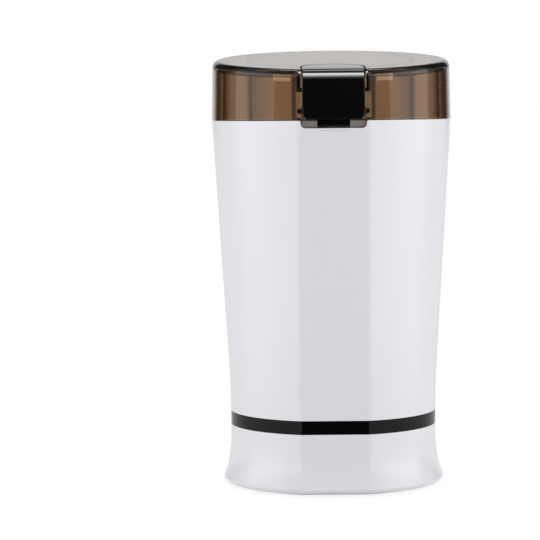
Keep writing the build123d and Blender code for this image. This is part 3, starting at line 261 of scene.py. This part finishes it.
# the lid's tinted part: outside one radius or above its sloping ceiling, and never below the seam; with
# painted light on the lid: a painted shade ring, painted shade lines and painted glints
def buildLidTintAndPaintedLight():
    tree, given, result = startGroup(
        "Lid Tint And Painted Light",
        {
            "Radius": 0.04,
            "Ceiling": 0.17,
            "Slope": 0.1,
            "Seam": 0.145,
            "Blend": 0.001,
            "Shade Ring Low": 0.165,
            "Shade Ring High": 0.168,
            "Shade Ring Start": 0.02,
            "Shade Line Inner": 0.014,
            "Shade Line Outer": 0.016,
            "Glint Inner": 0.016,
            "Glint Low": 0.165,
            "Glint High": 0.166,
        },
        {"Mask": "NodeSocketFloat", "Shade": "NodeSocketFloat"},
    )
    split = addNode(tree, "ShaderNodeSeparateXYZ")
    wire(tree, addNode(tree, "ShaderNodeTexCoord").outputs["Object"], split.inputs[0])
    squared = [mathNode(tree, "MULTIPLY", split.outputs[axis], split.outputs[axis]) for axis in (0, 1)]
    reach = mathNode(tree, "SQRT", mathNode(tree, "ADD", squared[0], squared[1]))
    level = mathNode(tree, "MULTIPLY", split.outputs[1], given["Slope"])
    level = mathNode(tree, "SUBTRACT", split.outputs[2], level)

    def past(value, limit):
        over = mathNode(tree, "SUBTRACT", value, given[limit])
        return mathNode(tree, "DIVIDE", over, given["Blend"], clamp=True)

    def between(value, low, high):
        return mathNode(tree, "SUBTRACT", past(value, low), past(value, high), clamp=True)

    wall = past(reach, "Radius")
    upper = mathNode(tree, "MAXIMUM", wall, past(level, "Ceiling"))
    above = past(split.outputs[2], "Seam")
    # painted glints: clear spots at the pocket's upper corners, where the painted shade ring ends, so the
    # white beyond shows through as a highlight
    sideways = mathNode(tree, "ABSOLUTE", split.outputs[0])
    front = mathNode(tree, "LESS_THAN", split.outputs[1], 0.0)
    paintedGlint = mathNode(tree, "MULTIPLY", between(sideways, "Glint Inner", "Shade Ring Start"), front)
    paintedGlint = mathNode(tree, "MULTIPLY", paintedGlint, between(level, "Glint Low", "Glint High"))
    tinted = mathNode(tree, "MULTIPLY", upper, mathNode(tree, "SUBTRACT", 1.0, paintedGlint))
    wire(tree, mathNode(tree, "MULTIPLY", tinted, above), result["Mask"])
    # painted shade: a dark ring on the thick edge under the top, away from the button, and dark lines where
    # the pocket's walls are seen end-on
    shadeRing = mathNode(tree, "MULTIPLY", between(level, "Shade Ring Low", "Shade Ring High"), past(sideways, "Shade Ring Start"))
    line = mathNode(tree, "MULTIPLY", between(sideways, "Shade Line Inner", "Shade Line Outer"), front)
    shade = mathNode(tree, "MULTIPLY", mathNode(tree, "MAXIMUM", shadeRing, line), wall)
    wire(tree, mathNode(tree, "MULTIPLY", shade, above), result["Shade"])
    return tree


groups = {
    "moulded": buildMouldedSkin(),
    "turned": buildTurnedMetal(),
    "ground": buildGroundMetal(),
    "banded": buildBanded(),
    "rub": buildEdgeRub(),
    "tintAndPaintedLight": buildLidTintAndPaintedLight(),
}


def placeGroup(tree, name, values):
    item = addNode(tree, "ShaderNodeGroup", node_tree=groups[name])
    for label, value in values.items():
        item.inputs[label].default_value = (*value, 1.0) if isinstance(value, tuple) else value
    return item.outputs


# painted light on a hollow wall seen nearly edge-on, by the facing angle: a painted dark line where its
# inside ends, and a painted pale rim beyond
def rimTint(tree, color, rim):
    facing = addNode(tree, "ShaderNodeLayerWeight").outputs["Facing"]

    def ramp(limits):
        item = addNode(tree, "ShaderNodeMapRange", interpolation_type="SMOOTHSTEP")
        wire(tree, facing, item.inputs["Value"])
        item.inputs["From Min"].default_value, item.inputs["From Max"].default_value = limits
        return item.outputs[0]

    darkened = mixColors(tree, 1.0, color, rim["lineColor"], "MULTIPLY")
    color = mixColors(tree, ramp(rim["line"]), color, darkened)
    return mixColors(tree, ramp(rim["edge"]), color, rim["paintedSheenRimColor"])


def buildMaterial(name, look):
    # one Principled surface, its colour, roughness and relief read from a shared group
    material = bpy.data.materials.new(name)
    material.use_nodes = True
    tree = material.node_tree
    shader = tree.nodes["Principled BSDF"]
    pattern = placeGroup(tree, look["group"], look["pattern"])
    color = pattern["Color"]
    if "rub" in look:
        mask = placeGroup(tree, "rub", look["rub"])["Mask"]
        color = mixColors(tree, mask, color, look["rubColor"])
    if "tintAndPaintedLight" in look:
        # painted shade from the lid's ring and lines, painted glints through the clear colour, then the
        # painted rim light
        tintAndPaintedLight = placeGroup(tree, "tintAndPaintedLight", look["tintAndPaintedLight"])
        color = mixColors(tree, tintAndPaintedLight["Shade"], color, look["shadeColor"])
        color = mixColors(tree, tintAndPaintedLight["Mask"], look["clearAndGlintColor"], rimTint(tree, color, look["rim"]))
    wire(tree, color, shader.inputs["Base Color"])
    wire(tree, pattern["Roughness"], shader.inputs["Roughness"])
    relief = addNode(tree, "ShaderNodeBump")
    relief.inputs["Strength"].default_value = look["relief"][0]
    relief.inputs["Distance"].default_value = look["relief"][1]
    wire(tree, pattern["Height"], relief.inputs["Height"])
    wire(tree, relief.outputs[0], shader.inputs["Normal"])
    for label, value in look.get("shader", {}).items():
        shader.inputs[label].default_value = value
    if "absorption" in look:
        inside = addNode(tree, "ShaderNodeVolumeAbsorption")
        inside.inputs["Color"].default_value = (*look["absorption"][0], 1.0)
        inside.inputs["Density"].default_value = look["absorption"][1]
        wire(tree, inside.outputs[0], tree.nodes["Material Output"].inputs["Volume"])
    return material


# where the lid's front flat, its sloping top and its lower edge lie, in metres and radians
lidFrame = {
    "flat": -0.04579,
    "centreHeight": 0.1694,  # of the top, over the motor's axis
    "slope": math.radians(5.8),
    "seam": 0.1454,
}

# every finish of the grinder, by the model's material slots
finishes = {
    "white_plastic": {
        "group": "moulded",
        "pattern": {
            "Color": (0.765, 0.765, 0.80),
            "Flow Color": (0.75, 0.75, 0.785),
            "Flow Scale": 22.0,
            "Grain Scale": 900.0,
            "Roughness": 0.2,
            "Roughness Spread": 0.06,
        },
        "relief": (0.03, 0.0002),
        "shader": {"IOR": 1.5},
    },
    "black_trim": {
        "group": "moulded",
        "pattern": {
            "Color": (0.0012, 0.0012, 0.0012),
            "Flow Color": (0.0025, 0.0025, 0.0025),
            "Flow Scale": 40.0,
            "Grain Scale": 1200.0,
            "Roughness": 0.12,
            "Roughness Spread": 0.05,
        },
        "relief": (0.03, 0.0001),
        "rub": {"Reach": 0.0004, "Amount": 0.5, "Patch Scale": 500.0},
        "rubColor": (0.05, 0.05, 0.052),
        "shader": {"IOR": 1.28},
    },
    "smoke_plastic": {
        "group": "moulded",
        "pattern": {
            "Color": (0.55, 0.385, 0.245),
            "Flow Color": (0.52, 0.355, 0.22),
            "Flow Scale": 30.0,
            "Grain Scale": 500.0,
            "Roughness": 0.02,
            "Roughness Spread": 0.02,
        },
        # where the lid is tinted, and where its painted shade ring, painted shade lines and painted glints
        # lie
        "tintAndPaintedLight": {
            "Radius": 0.0405,
            "Ceiling": 0.1665,
            "Slope": math.tan(lidFrame["slope"]),
            "Seam": 0.1452,
            "Blend": 0.0004,
            "Shade Ring Low": 0.1657,
            "Shade Ring High": 0.1682,
            "Shade Ring Start": 0.0225,
            "Shade Line Inner": 0.0141,
            "Shade Line Outer": 0.0156,
            "Glint Inner": 0.0162,
            "Glint Low": 0.1646,
            "Glint High": 0.1661,
        },
        # the clear colour also paints the glints; the shade colour paints the dark ring and lines
        "clearAndGlintColor": (0.93, 0.93, 0.9),
        "shadeColor": (0.11, 0.078, 0.05),
        # painted dark line and painted pale rim where the lid's wall is seen edge-on
        "rim": {
            "line": (0.5, 0.66),
            "lineColor": (0.15, 0.08, 0.045),
            "edge": (0.69, 0.72),
            "paintedSheenRimColor": (0.8, 0.76, 0.72),
        },
        "relief": (0.01, 0.0001),
        "shader": {"IOR": 1.5, "Transmission Weight": 1.0},
        "absorption": ((0.6, 0.5, 0.4), 30.0),
    },
    "black_gloss": {
        "group": "moulded",
        "pattern": {
            "Color": (0.0012, 0.0012, 0.0012),
            "Flow Color": (0.0025, 0.0025, 0.0025),
            "Flow Scale": 60.0,
            "Grain Scale": 1200.0,
            "Roughness": 0.1,
            "Roughness Spread": 0.05,
        },
        "relief": (0.04, 0.0001),
        "rub": {"Reach": 0.0005, "Amount": 0.4, "Patch Scale": 600.0},
        "rubColor": (0.04, 0.04, 0.042),
        "shader": {"IOR": 1.5},
    },
    "black_matte": {
        "group": "moulded",
        "pattern": {
            "Color": (0.022, 0.022, 0.023),
            "Flow Color": (0.032, 0.032, 0.033),
            "Flow Scale": 60.0,
            "Grain Scale": 2200.0,
            "Roughness": 0.5,
            "Roughness Spread": 0.12,
        },
        "relief": (0.35, 0.0001),
        "rub": {"Reach": 0.0005, "Amount": 0.7, "Patch Scale": 500.0},
        "rubColor": (0.1, 0.1, 0.1),
    },
    "motor_plastic": {
        "group": "moulded",
        "pattern": {
            "Color": (0.08, 0.08, 0.085),
            "Flow Color": (0.11, 0.11, 0.11),
            "Flow Scale": 90.0,
            "Grain Scale": 1600.0,
            "Roughness": 0.48,
            "Roughness Spread": 0.15,
        },
        "relief": (0.25, 0.0001),
    },
    "stainless": {
        "group": "turned",
        "pattern": {
            "Color": (0.66, 0.655, 0.64),
            "Ring Color": (0.52, 0.515, 0.505),
            "Ring Scale": 1500.0,
            "Roughness": 0.2,
            "Roughness Spread": 0.14,
        },
        "relief": (0.06, 0.00005),
        "shader": {"Metallic": 1.0},
    },
    "hardware_steel": {
        "group": "ground",
        "pattern": {
            "Color": (0.56, 0.56, 0.55),
            "Scratch Color": (0.42, 0.42, 0.43),
            "Scratch Scale": 900.0,
            "Roughness": 0.34,
            "Roughness Spread": 0.2,
        },
        "relief": (0.08, 0.00005),
        "shader": {"Metallic": 1.0},
    },
    "bearing_steel": {
        "group": "turned",
        "pattern": {
            "Color": (0.62, 0.62, 0.62),
            "Ring Color": (0.52, 0.52, 0.53),
            "Ring Scale": 2200.0,
            "Roughness": 0.14,
            "Roughness Spread": 0.1,
        },
        "relief": (0.04, 0.00005),
        "shader": {"Metallic": 1.0},
    },
    "spring_steel": {
        "group": "ground",
        "pattern": {
            "Color": (0.5, 0.5, 0.51),
            "Scratch Color": (0.36, 0.36, 0.37),
            "Scratch Scale": 2500.0,
            "Roughness": 0.3,
            "Roughness Spread": 0.15,
        },
        "relief": (0.05, 0.00003),
        "shader": {"Metallic": 1.0},
    },
    "motor_steel": {
        "group": "banded",
        "pattern": {
            "Color": (0.26, 0.26, 0.27),
            "Groove Color": (0.1, 0.1, 0.11),
            "Band Scale": 628.0,
            "Wander": 0.1,
            "Roughness": 0.42,
            "Roughness Spread": 0.2,
        },
        "relief": (0.4, 0.0001),
        "shader": {"Metallic": 0.9},
    },
    "copper": {
        "group": "banded",
        "pattern": {
            "Color": (0.62, 0.27, 0.12),
            "Groove Color": (0.2, 0.07, 0.03),
            "Band Scale": 700.0,
            "Wander": 1.2,
            "Roughness": 0.3,
            "Roughness Spread": 0.2,
        },
        "relief": (0.6, 0.00015),
        "shader": {"Metallic": 0.85},
    },
    "brass": {
        "group": "ground",
        "pattern": {
            "Color": (0.7, 0.52, 0.22),
            "Scratch Color": (0.5, 0.36, 0.14),
            "Scratch Scale": 1200.0,
            "Roughness": 0.3,
            "Roughness Spread": 0.15,
        },
        "relief": (0.06, 0.00005),
        "shader": {"Metallic": 1.0},
    },
    "rubber": {
        "group": "moulded",
        "pattern": {
            "Color": (0.018, 0.018, 0.018),
            "Flow Color": (0.03, 0.03, 0.03),
            "Flow Scale": 80.0,
            "Grain Scale": 1800.0,
            "Roughness": 0.62,
            "Roughness Spread": 0.15,
        },
        "relief": (0.3, 0.0001),
    },
    "silicone": {
        "group": "moulded",
        "pattern": {
            "Color": (0.42, 0.42, 0.41),
            "Flow Color": (0.36, 0.36, 0.35),
            "Flow Scale": 70.0,
            "Grain Scale": 1400.0,
            "Roughness": 0.45,
            "Roughness Spread": 0.12,
        },
        "relief": (0.15, 0.0001),
        "shader": {"Subsurface Weight": 0.1, "Subsurface Scale": 0.001},
    },
    "carbon": {
        "group": "moulded",
        "pattern": {
            "Color": (0.02, 0.02, 0.021),
            "Flow Color": (0.05, 0.05, 0.052),
            "Flow Scale": 400.0,
            "Grain Scale": 3000.0,
            "Roughness": 0.45,
            "Roughness Spread": 0.2,
        },
        "relief": (0.4, 0.0001),
        "shader": {"Metallic": 0.3},
    },
}

materials = {name: buildMaterial("finish_" + name, look) for name, look in finishes.items()}
for part in frame["record"]["subparts"]:
    for holder in frame["nodes"][part["node"]].material_slots:
        holder.material = materials[part["material_slot"]]
print("finishes assigned:", len(materials))

# the blade is ground, not turned
bladeLook = {
    "group": "ground",
    "pattern": {
        "Color": (0.66, 0.66, 0.65),
        "Scratch Color": (0.48, 0.48, 0.47),
        "Scratch Scale": 900.0,
        "Roughness": 0.2,
        "Roughness Spread": 0.18,
    },
    "rub": {"Reach": 0.0004, "Amount": 1.0, "Patch Scale": 400.0},
    "rubColor": (0.85, 0.85, 0.84),
    "relief": (0.1, 0.00005),
    "shader": {"Metallic": 1.0},
}
for holder in frame["nodes"]["grinding_blade"].material_slots:
    holder.material = buildMaterial("finish_ground_blade", bladeLook)


def finishPiece(name, mesh, body, material):
    piece = bpy.data.objects.new(name, mesh)
    bpy.context.collection.objects.link(piece)
    mesh.materials.clear()
    mesh.materials.append(material)
    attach(piece, body)
    return piece


# the button, its front top edge rounded further than in the solid
buttonCap = {
    "faceDepth": 0.0001,
    "radius": 0.005,
    "solidRadius": 0.002,
    "rings": 16,
    "skinStart": 0.0045,  # nearer to the rounding's centre nothing moves
    "skinFull": 0.005,
    "sharpAngle": math.radians(32),
    "weld": 1e-6,
    "cutReach": 1e-7,
}


def roundButton(settings):
    mesh = bmesh.new()
    mesh.from_mesh(frame["nodes"]["press_button"].data)
    bmesh.ops.remove_doubles(mesh, verts=mesh.verts, dist=settings["weld"])
    radius, solidRadius = settings["radius"], settings["solidRadius"]
    slope = lidFrame["slope"]
    turn = math.pi / 2 - slope  # from the face's normal up to the top's
    axisY = lidFrame["flat"] + settings["faceDepth"] + radius
    axisZ = lidFrame["centreHeight"] + axisY * math.tan(slope) - radius / math.cos(slope)
    # rows of cuts through the rounding, so that the skin can bend
    for step in range(settings["rings"] + 1):
        angle = turn * step / settings["rings"]
        bmesh.ops.bisect_plane(
            mesh,
            geom=mesh.verts[:] + mesh.edges[:] + mesh.faces[:],
            dist=settings["cutReach"],
            plane_co=(0.0, axisY, axisZ),
            plane_no=(0.0, math.sin(angle), math.cos(angle)),
        )
    between = (radius - solidRadius) / math.cos(turn / 2)  # from the new centre to the solid's
    tangent = math.atan2(between * math.sin(turn / 2), radius)

    # how far the solid's skin lies from the rounding's centre
    def solidReach(angle):
        if angle < tangent:
            return radius / math.cos(angle)
        if angle > turn - tangent:
            return radius / math.cos(turn - angle)
        offset = angle - turn / 2
        return between * math.cos(offset) + math.sqrt(solidRadius**2 - (between * math.sin(offset)) ** 2)

    for vert in mesh.verts:
        forward, upward = axisY - vert.co.y, vert.co.z - axisZ
        angle, reach = math.atan2(upward, forward), math.hypot(forward, upward)
        if not 0.0 < angle < turn or reach < settings["skinStart"]:
            continue
        share = min(1.0, (reach - settings["skinStart"]) / (settings["skinFull"] - settings["skinStart"]))
        moved = reach - share * (solidReach(angle) - radius)
        vert.co.y = axisY - moved * math.cos(angle)
        vert.co.z = axisZ + moved * math.sin(angle)
    for face in mesh.faces:
        face.smooth = True
    for edge in mesh.edges:
        edge.smooth = len(edge.link_faces) == 2 and edge.calc_face_angle(0.0) < settings["sharpAngle"]
    data = bpy.data.meshes.new("button_cap")
    mesh.to_mesh(data)
    mesh.free()
    return data


buttonPiece = finishPiece(
    "button_cap", roundButton(buttonCap), "button", materials["black_gloss"]
)
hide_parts("press_button")
print("button rounded")

# springs, copied smooth and hung on the bodies that hold them; the table gives joint, body, and the end
# that stays
springEnds = {
    "button_springs": {
        "piece": "button_coils",
        "body": "lid",
        "joint": "button_press",
        "foot": 0.1505,
    },
    "plunger_spring": {
        "piece": "plunger_coil",
        "body": "housing",
        "joint": "plunger_press",
        "foot": 0.1312,
    },
}
springWeld = 1e-7

for node, spring in springEnds.items():
    coils = bmesh.new()
    coils.from_mesh(frame["nodes"][node].data)
    bmesh.ops.remove_doubles(coils, verts=coils.verts, dist=springWeld)
    for face in coils.faces:
        face.smooth = True
    data = bpy.data.meshes.new(spring["piece"])
    coils.to_mesh(data)
    coils.free()
    piece = finishPiece(spring["piece"], data, spring["body"], materials["spring_steel"])
    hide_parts(node)
    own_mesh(piece)

# painted light: pale plates inside the lid's tab, at both sides of the button's stem, standing in for the
# light seen through the tab
paintedTabLight = {
    "depth": 0.00215,
    "thickness": 0.0002,
    "inner": 0.0063,
    "outer": 0.0122,
    "drop": 0.00255,
    "corner": 0.0014,
    "cornerSteps": 8,
    "edge": 0.00005,
}
# the plates' pale grey is painted light
paintedTabLightLook = {
    "group": "moulded",
    "pattern": {
        "Color": (0.3, 0.29, 0.25),
        "Flow Color": (0.2, 0.19, 0.16),
        "Flow Scale": 260.0,
        "Grain Scale": 900.0,
        "Roughness": 0.3,
        "Roughness Spread": 0.1,
    },
    "relief": (0.02, 0.0001),
    "shader": {"IOR": 1.5},
}


def buildPaintedTabLight(settings):
    mesh = bmesh.new()
    bmesh.ops.create_grid(mesh, x_segments=1, y_segments=1, size=0.5)
    width = settings["outer"] - settings["inner"]
    bmesh.ops.scale(mesh, verts=mesh.verts, vec=(width, settings["drop"], 1.0))
    bmesh.ops.rotate(mesh, verts=mesh.verts, matrix=Matrix.Rotation(math.pi / 2, 3, "X"))
    middle = (settings["outer"] + settings["inner"]) / 2
    front = lidFrame["flat"] + settings["depth"]
    place = (middle, front, lidFrame["seam"] - settings["drop"] / 2)
    bmesh.ops.translate(mesh, verts=mesh.verts, vec=place)
    corner = max(mesh.verts, key=lambda vert: vert.co.x - vert.co.z)
    bmesh.ops.bevel(
        mesh,
        geom=[corner],
        offset=settings["corner"],
        offset_type="OFFSET",
        affect="VERTICES",
        segments=settings["cornerSteps"],
        profile=0.5,
        material=-1,
    )
    grown = bmesh.ops.extrude_face_region(mesh, geom=mesh.faces[:])
    moved = [item for item in grown["geom"] if isinstance(item, bmesh.types.BMVert)]
    bmesh.ops.translate(mesh, verts=moved, vec=(0.0, -settings["thickness"], 0.0))
    bmesh.ops.bevel(
        mesh,
        geom=mesh.edges[:],
        offset=settings["edge"],
        affect="EDGES",
        segments=1,
        profile=0.5,
        material=-1,
        clamp_overlap=True,
    )
    bmesh.ops.mirror(mesh, geom=mesh.verts[:] + mesh.edges[:] + mesh.faces[:], axis="X", merge_dist=-1.0)
    bmesh.ops.recalc_face_normals(mesh, faces=mesh.faces)
    data = bpy.data.meshes.new("painted_tab_light")
    mesh.to_mesh(data)
    mesh.free()
    return data


paintedTabLightMaterial = buildMaterial("painted_tab_light_finish", paintedTabLightLook)
finishPiece("painted_tab_light", buildPaintedTabLight(paintedTabLight), "lid", paintedTabLightMaterial)
print("tab faces added")

# the studio: a white sweep that takes the soft shadow, and what gloss and glass see around it
studio = {
    "floorSize": 6.0,
    "floorColor": (0.86, 0.86, 0.86),
    "floorRoughness": 0.9,
    "floorGlow": 0.82,
    "glowStrength": 1.05,
    # levels of the floor in gloss, by how far off it lies and whether it is in front or behind
    "glossLens": 0.03,
    "glossBack": 0.7,
    "glossNear": 0.9,
    "glossFar": 2.0,
    "glossReach": (0.2, 0.34),
    "glossTurn": (-0.2, 0.5),
    # levels of the surroundings; spans are shares of a direction: forward, upward or sideways
    "worldStrength": 0.86,
    "sideLevel": 0.42,
    "lensCone": (-0.93, -0.86),
    "lensLevel": 0.03,
    "turnCone": (0.3, 0.6),
    "turnLevel": 0.12,
    "backCone": (0.86, 0.95),
    "backGloss": 0.72,
    "overhead": (0.6, 0.8),
    "overheadGloss": 0.3,
    # strip light above the front, and boxes low at the sides
    "stripLevel": 20.0,
    "stripFront": (-0.9, -0.2),
    "stripBack": (-0.32, -0.08),
    "stripReach": (0.24, 0.34),
    "sideBoxLevel": 2.0,
    "sideBoxLow": (0.06, 0.1),
    "sideBoxHigh": (0.22, 0.3),
    "sideBoxBack": (-0.1, 0.5),
    "firstBounce": 2.5,  # ray depth up to which strip and side boxes show: one reflection is two
}


# a soft step from one level to another; levels are numbers or sockets
def rampNode(tree, value, limits, low, high):
    item = addNode(tree, "ShaderNodeMapRange", interpolation_type="SMOOTHSTEP")
    wire(tree, value, item.inputs["Value"])
    item.inputs["From Min"].default_value, item.inputs["From Max"].default_value = limits
    for label, level in (("To Min", low), ("To Max", high)):
        if isinstance(level, (int, float)):
            item.inputs[label].default_value = level
        else:
            wire(tree, level, item.inputs[label])
    return item.outputs[0]


def floorGloss(tree, settings):
    # what gloss sees of the floor: dark around the lens, bright far off, dimmer behind
    split = addNode(tree, "ShaderNodeSeparateXYZ")
    place = addNode(tree, "ShaderNodeTexCoord").outputs["Object"]
    wire(tree, place, split.inputs[0])
    length = addNode(tree, "ShaderNodeVectorMath", operation="LENGTH")
    wire(tree, place, length.inputs[0])
    reach = length.outputs["Value"]
    facing = mathNode(tree, "DIVIDE", split.outputs[1], reach)
    side = rampNode(tree, reach, settings["glossReach"], settings["glossNear"], settings["glossFar"])
    level = rampNode(tree, facing, settings["lensCone"], settings["glossLens"], side)
    return rampNode(tree, facing, settings["glossTurn"], level, settings["glossBack"])


def buildFloor(settings):
    bpy.ops.mesh.primitive_plane_add(size=settings["floorSize"])
    floor = bpy.context.object
    floor.name = "studio_floor"
    material = bpy.data.materials.new("studio_floor")
    material.use_nodes = True
    tree = material.node_tree
    shader = tree.nodes["Principled BSDF"]
    shader.inputs["Base Color"].default_value = (*settings["floorColor"], 1.0)
    shader.inputs["Roughness"].default_value = settings["floorRoughness"]
    glow = addNode(tree, "ShaderNodeEmission")
    rays = addNode(tree, "ShaderNodeLightPath").outputs
    strength = addNode(tree, "ShaderNodeMix")
    wire(tree, rays["Is Glossy Ray"], strength.inputs[0])
    strength.inputs[2].default_value = settings["glowStrength"]
    wire(tree, floorGloss(tree, settings), strength.inputs[3])
    wire(tree, strength.outputs[0], glow.inputs["Strength"])
    seen = mathNode(tree, "ADD", rays["Is Camera Ray"], rays["Is Glossy Ray"], clamp=True)
    seen = mathNode(tree, "ADD", seen, rays["Is Transmission Ray"], clamp=True)
    seen = mathNode(tree, "MULTIPLY", seen, settings["floorGlow"])
    blend = addNode(tree, "ShaderNodeMixShader")
    wire(tree, mathNode(tree, "MAXIMUM", seen, rays["Is Glossy Ray"]), blend.inputs[0])
    wire(tree, shader.outputs[0], blend.inputs[1])
    wire(tree, glow.outputs[0], blend.inputs[2])
    wire(tree, blend.outputs[0], tree.nodes["Material Output"].inputs["Surface"])
    floor.data.materials.append(material)


def buildWorld(settings):
    # even white light; gloss and glass see a bright backdrop and top, dimmer sides and a dark lens
    world = bpy.data.worlds.new("studio")
    bpy.context.scene.world = world
    world.use_nodes = True
    tree = world.node_tree
    sky = tree.nodes["Background"]
    direction = addNode(tree, "ShaderNodeTexCoord").outputs["Generated"]
    split = addNode(tree, "ShaderNodeSeparateXYZ")
    wire(tree, direction, split.inputs[0])
    across, along, height = split.outputs
    rays = addNode(tree, "ShaderNodeLightPath").outputs
    gloss = rays["Is Glossy Ray"]

    def dimmed(level):
        # one, or this level in gloss
        return mathNode(tree, "SUBTRACT", 1.0, mathNode(tree, "MULTIPLY", gloss, 1.0 - level))

    seen = rampNode(tree, along, settings["lensCone"], settings["lensLevel"], settings["sideLevel"])
    turned = rampNode(tree, along, settings["turnCone"], 1.0, dimmed(settings["turnLevel"]))
    seen = mathNode(tree, "MULTIPLY", seen, turned)
    back = rampNode(tree, along, settings["backCone"], 0.0, dimmed(settings["backGloss"]))
    seen = mathNode(tree, "MAXIMUM", seen, back)
    above = rampNode(tree, height, settings["overhead"], 0.0, dimmed(settings["overheadGloss"]))
    seen = mathNode(tree, "MAXIMUM", seen, above)
    # strip light above the front and boxes low at the sides, seen in gloss alone
    strip = rampNode(tree, along, settings["stripFront"], 0.0, settings["stripLevel"])
    strip = rampNode(tree, along, settings["stripBack"], strip, 0.0)
    sideways = mathNode(tree, "ABSOLUTE", across)
    strip = rampNode(tree, sideways, settings["stripReach"], strip, 0.0)
    strip = mathNode(tree, "MULTIPLY", strip, mathNode(tree, "GREATER_THAN", height, 0.0))
    sides = rampNode(tree, along, settings["lensCone"], 0.0, settings["sideBoxLevel"])
    sides = rampNode(tree, along, settings["sideBoxBack"], sides, 0.0)
    sides = rampNode(tree, height, settings["sideBoxLow"], 0.0, sides)
    sides = rampNode(tree, height, settings["sideBoxHigh"], sides, 0.0)
    lit = mathNode(tree, "MULTIPLY", mathNode(tree, "MAXIMUM", strip, sides), gloss)
    early = mathNode(tree, "LESS_THAN", rays["Ray Depth"], settings["firstBounce"])
    lit = mathNode(tree, "MULTIPLY", lit, early)
    seen = mathNode(tree, "MAXIMUM", seen, lit)
    sharp = mathNode(tree, "ADD", gloss, rays["Is Transmission Ray"], clamp=True)
    level = addNode(tree, "ShaderNodeMix")
    wire(tree, sharp, level.inputs[0])
    level.inputs[2].default_value = settings["worldStrength"]
    wire(tree, seen, level.inputs[3])
    wire(tree, mathNode(tree, "MAXIMUM", level.outputs[0], rays["Is Camera Ray"]), sky.inputs["Strength"])
    sky.inputs["Color"].default_value = (1.0, 1.0, 1.0, 1.0)


buildFloor(studio)
buildWorld(studio)

# soft boxes: one at each side, a little above the lid, and one over the back
boxes = {
    "left_box": {"place": (-0.95, -0.17, 0.35), "size": (0.9, 0.8), "watts": 1.9},
    "right_box": {"place": (0.95, -0.17, 0.35), "size": (0.9, 0.8), "watts": 2.3},
    "top_box": {"place": (0.0, 0.35, 0.9), "size": (0.5, 0.3), "watts": 1.2},
}
boxTarget = (0.0, 0.0, 0.09)


def aimAt(place, target):
    return (Vector(target) - Vector(place)).to_track_quat("-Z", "Y").to_matrix().to_4x4()


for name, box in boxes.items():
    data = bpy.data.lights.new(name, "AREA")
    data.shape = "RECTANGLE"
    data.size, data.size_y = box["size"]
    data.energy = box["watts"]
    lamp = bpy.data.objects.new(name, data)
    bpy.context.collection.objects.link(lamp)
    lamp.matrix_world = Matrix.Translation(box["place"]) @ aimAt(box["place"], boxTarget)
print("studio built")

# an eye just below the lid's top, looking a little down, turned so that the grinder stands right of
# the middle; metres, degrees and millimetres of lens
cameraSetup = {
    "distance": 0.93,
    "height": 0.1521,
    "azimuth": 1.3,
    "yaw": 1.538,
    "pitch": 4.105,
    "roll": 0.523,
    "lens": 154.7,
    "sensor": 36.0,
    "near": 0.05,
}


def buildCamera(setup):
    azimuth, pitch, roll = (math.radians(setup[key]) for key in ("azimuth", "pitch", "roll"))
    heading = azimuth - math.radians(setup["yaw"])
    forward = Vector((
        math.sin(heading) * math.cos(pitch),
        math.cos(heading) * math.cos(pitch),
        -math.sin(pitch),
    ))
    right = Vector((math.cos(heading), -math.sin(heading), 0.0))
    up = right.cross(forward)
    tiltedUp = up * math.cos(roll) + right * math.sin(roll)
    tiltedRight = forward.cross(tiltedUp)
    rotation = Matrix((tiltedRight, tiltedUp, -forward)).transposed().to_4x4()
    eye = Vector((-math.sin(azimuth), -math.cos(azimuth), 0.0)) * setup["distance"]
    eye.z = setup["height"]
    data = bpy.data.cameras.new("camera")
    data.lens = setup["lens"]
    data.sensor_width = setup["sensor"]
    data.clip_start = setup["near"]
    camera = bpy.data.objects.new("camera", data)
    bpy.context.collection.objects.link(camera)
    camera.matrix_world = Matrix.Translation(eye) @ rotation
    bpy.context.scene.camera = camera


buildCamera(cameraSetup)
bpy.context.scene.view_settings.view_transform = "Standard"
print("camera set")
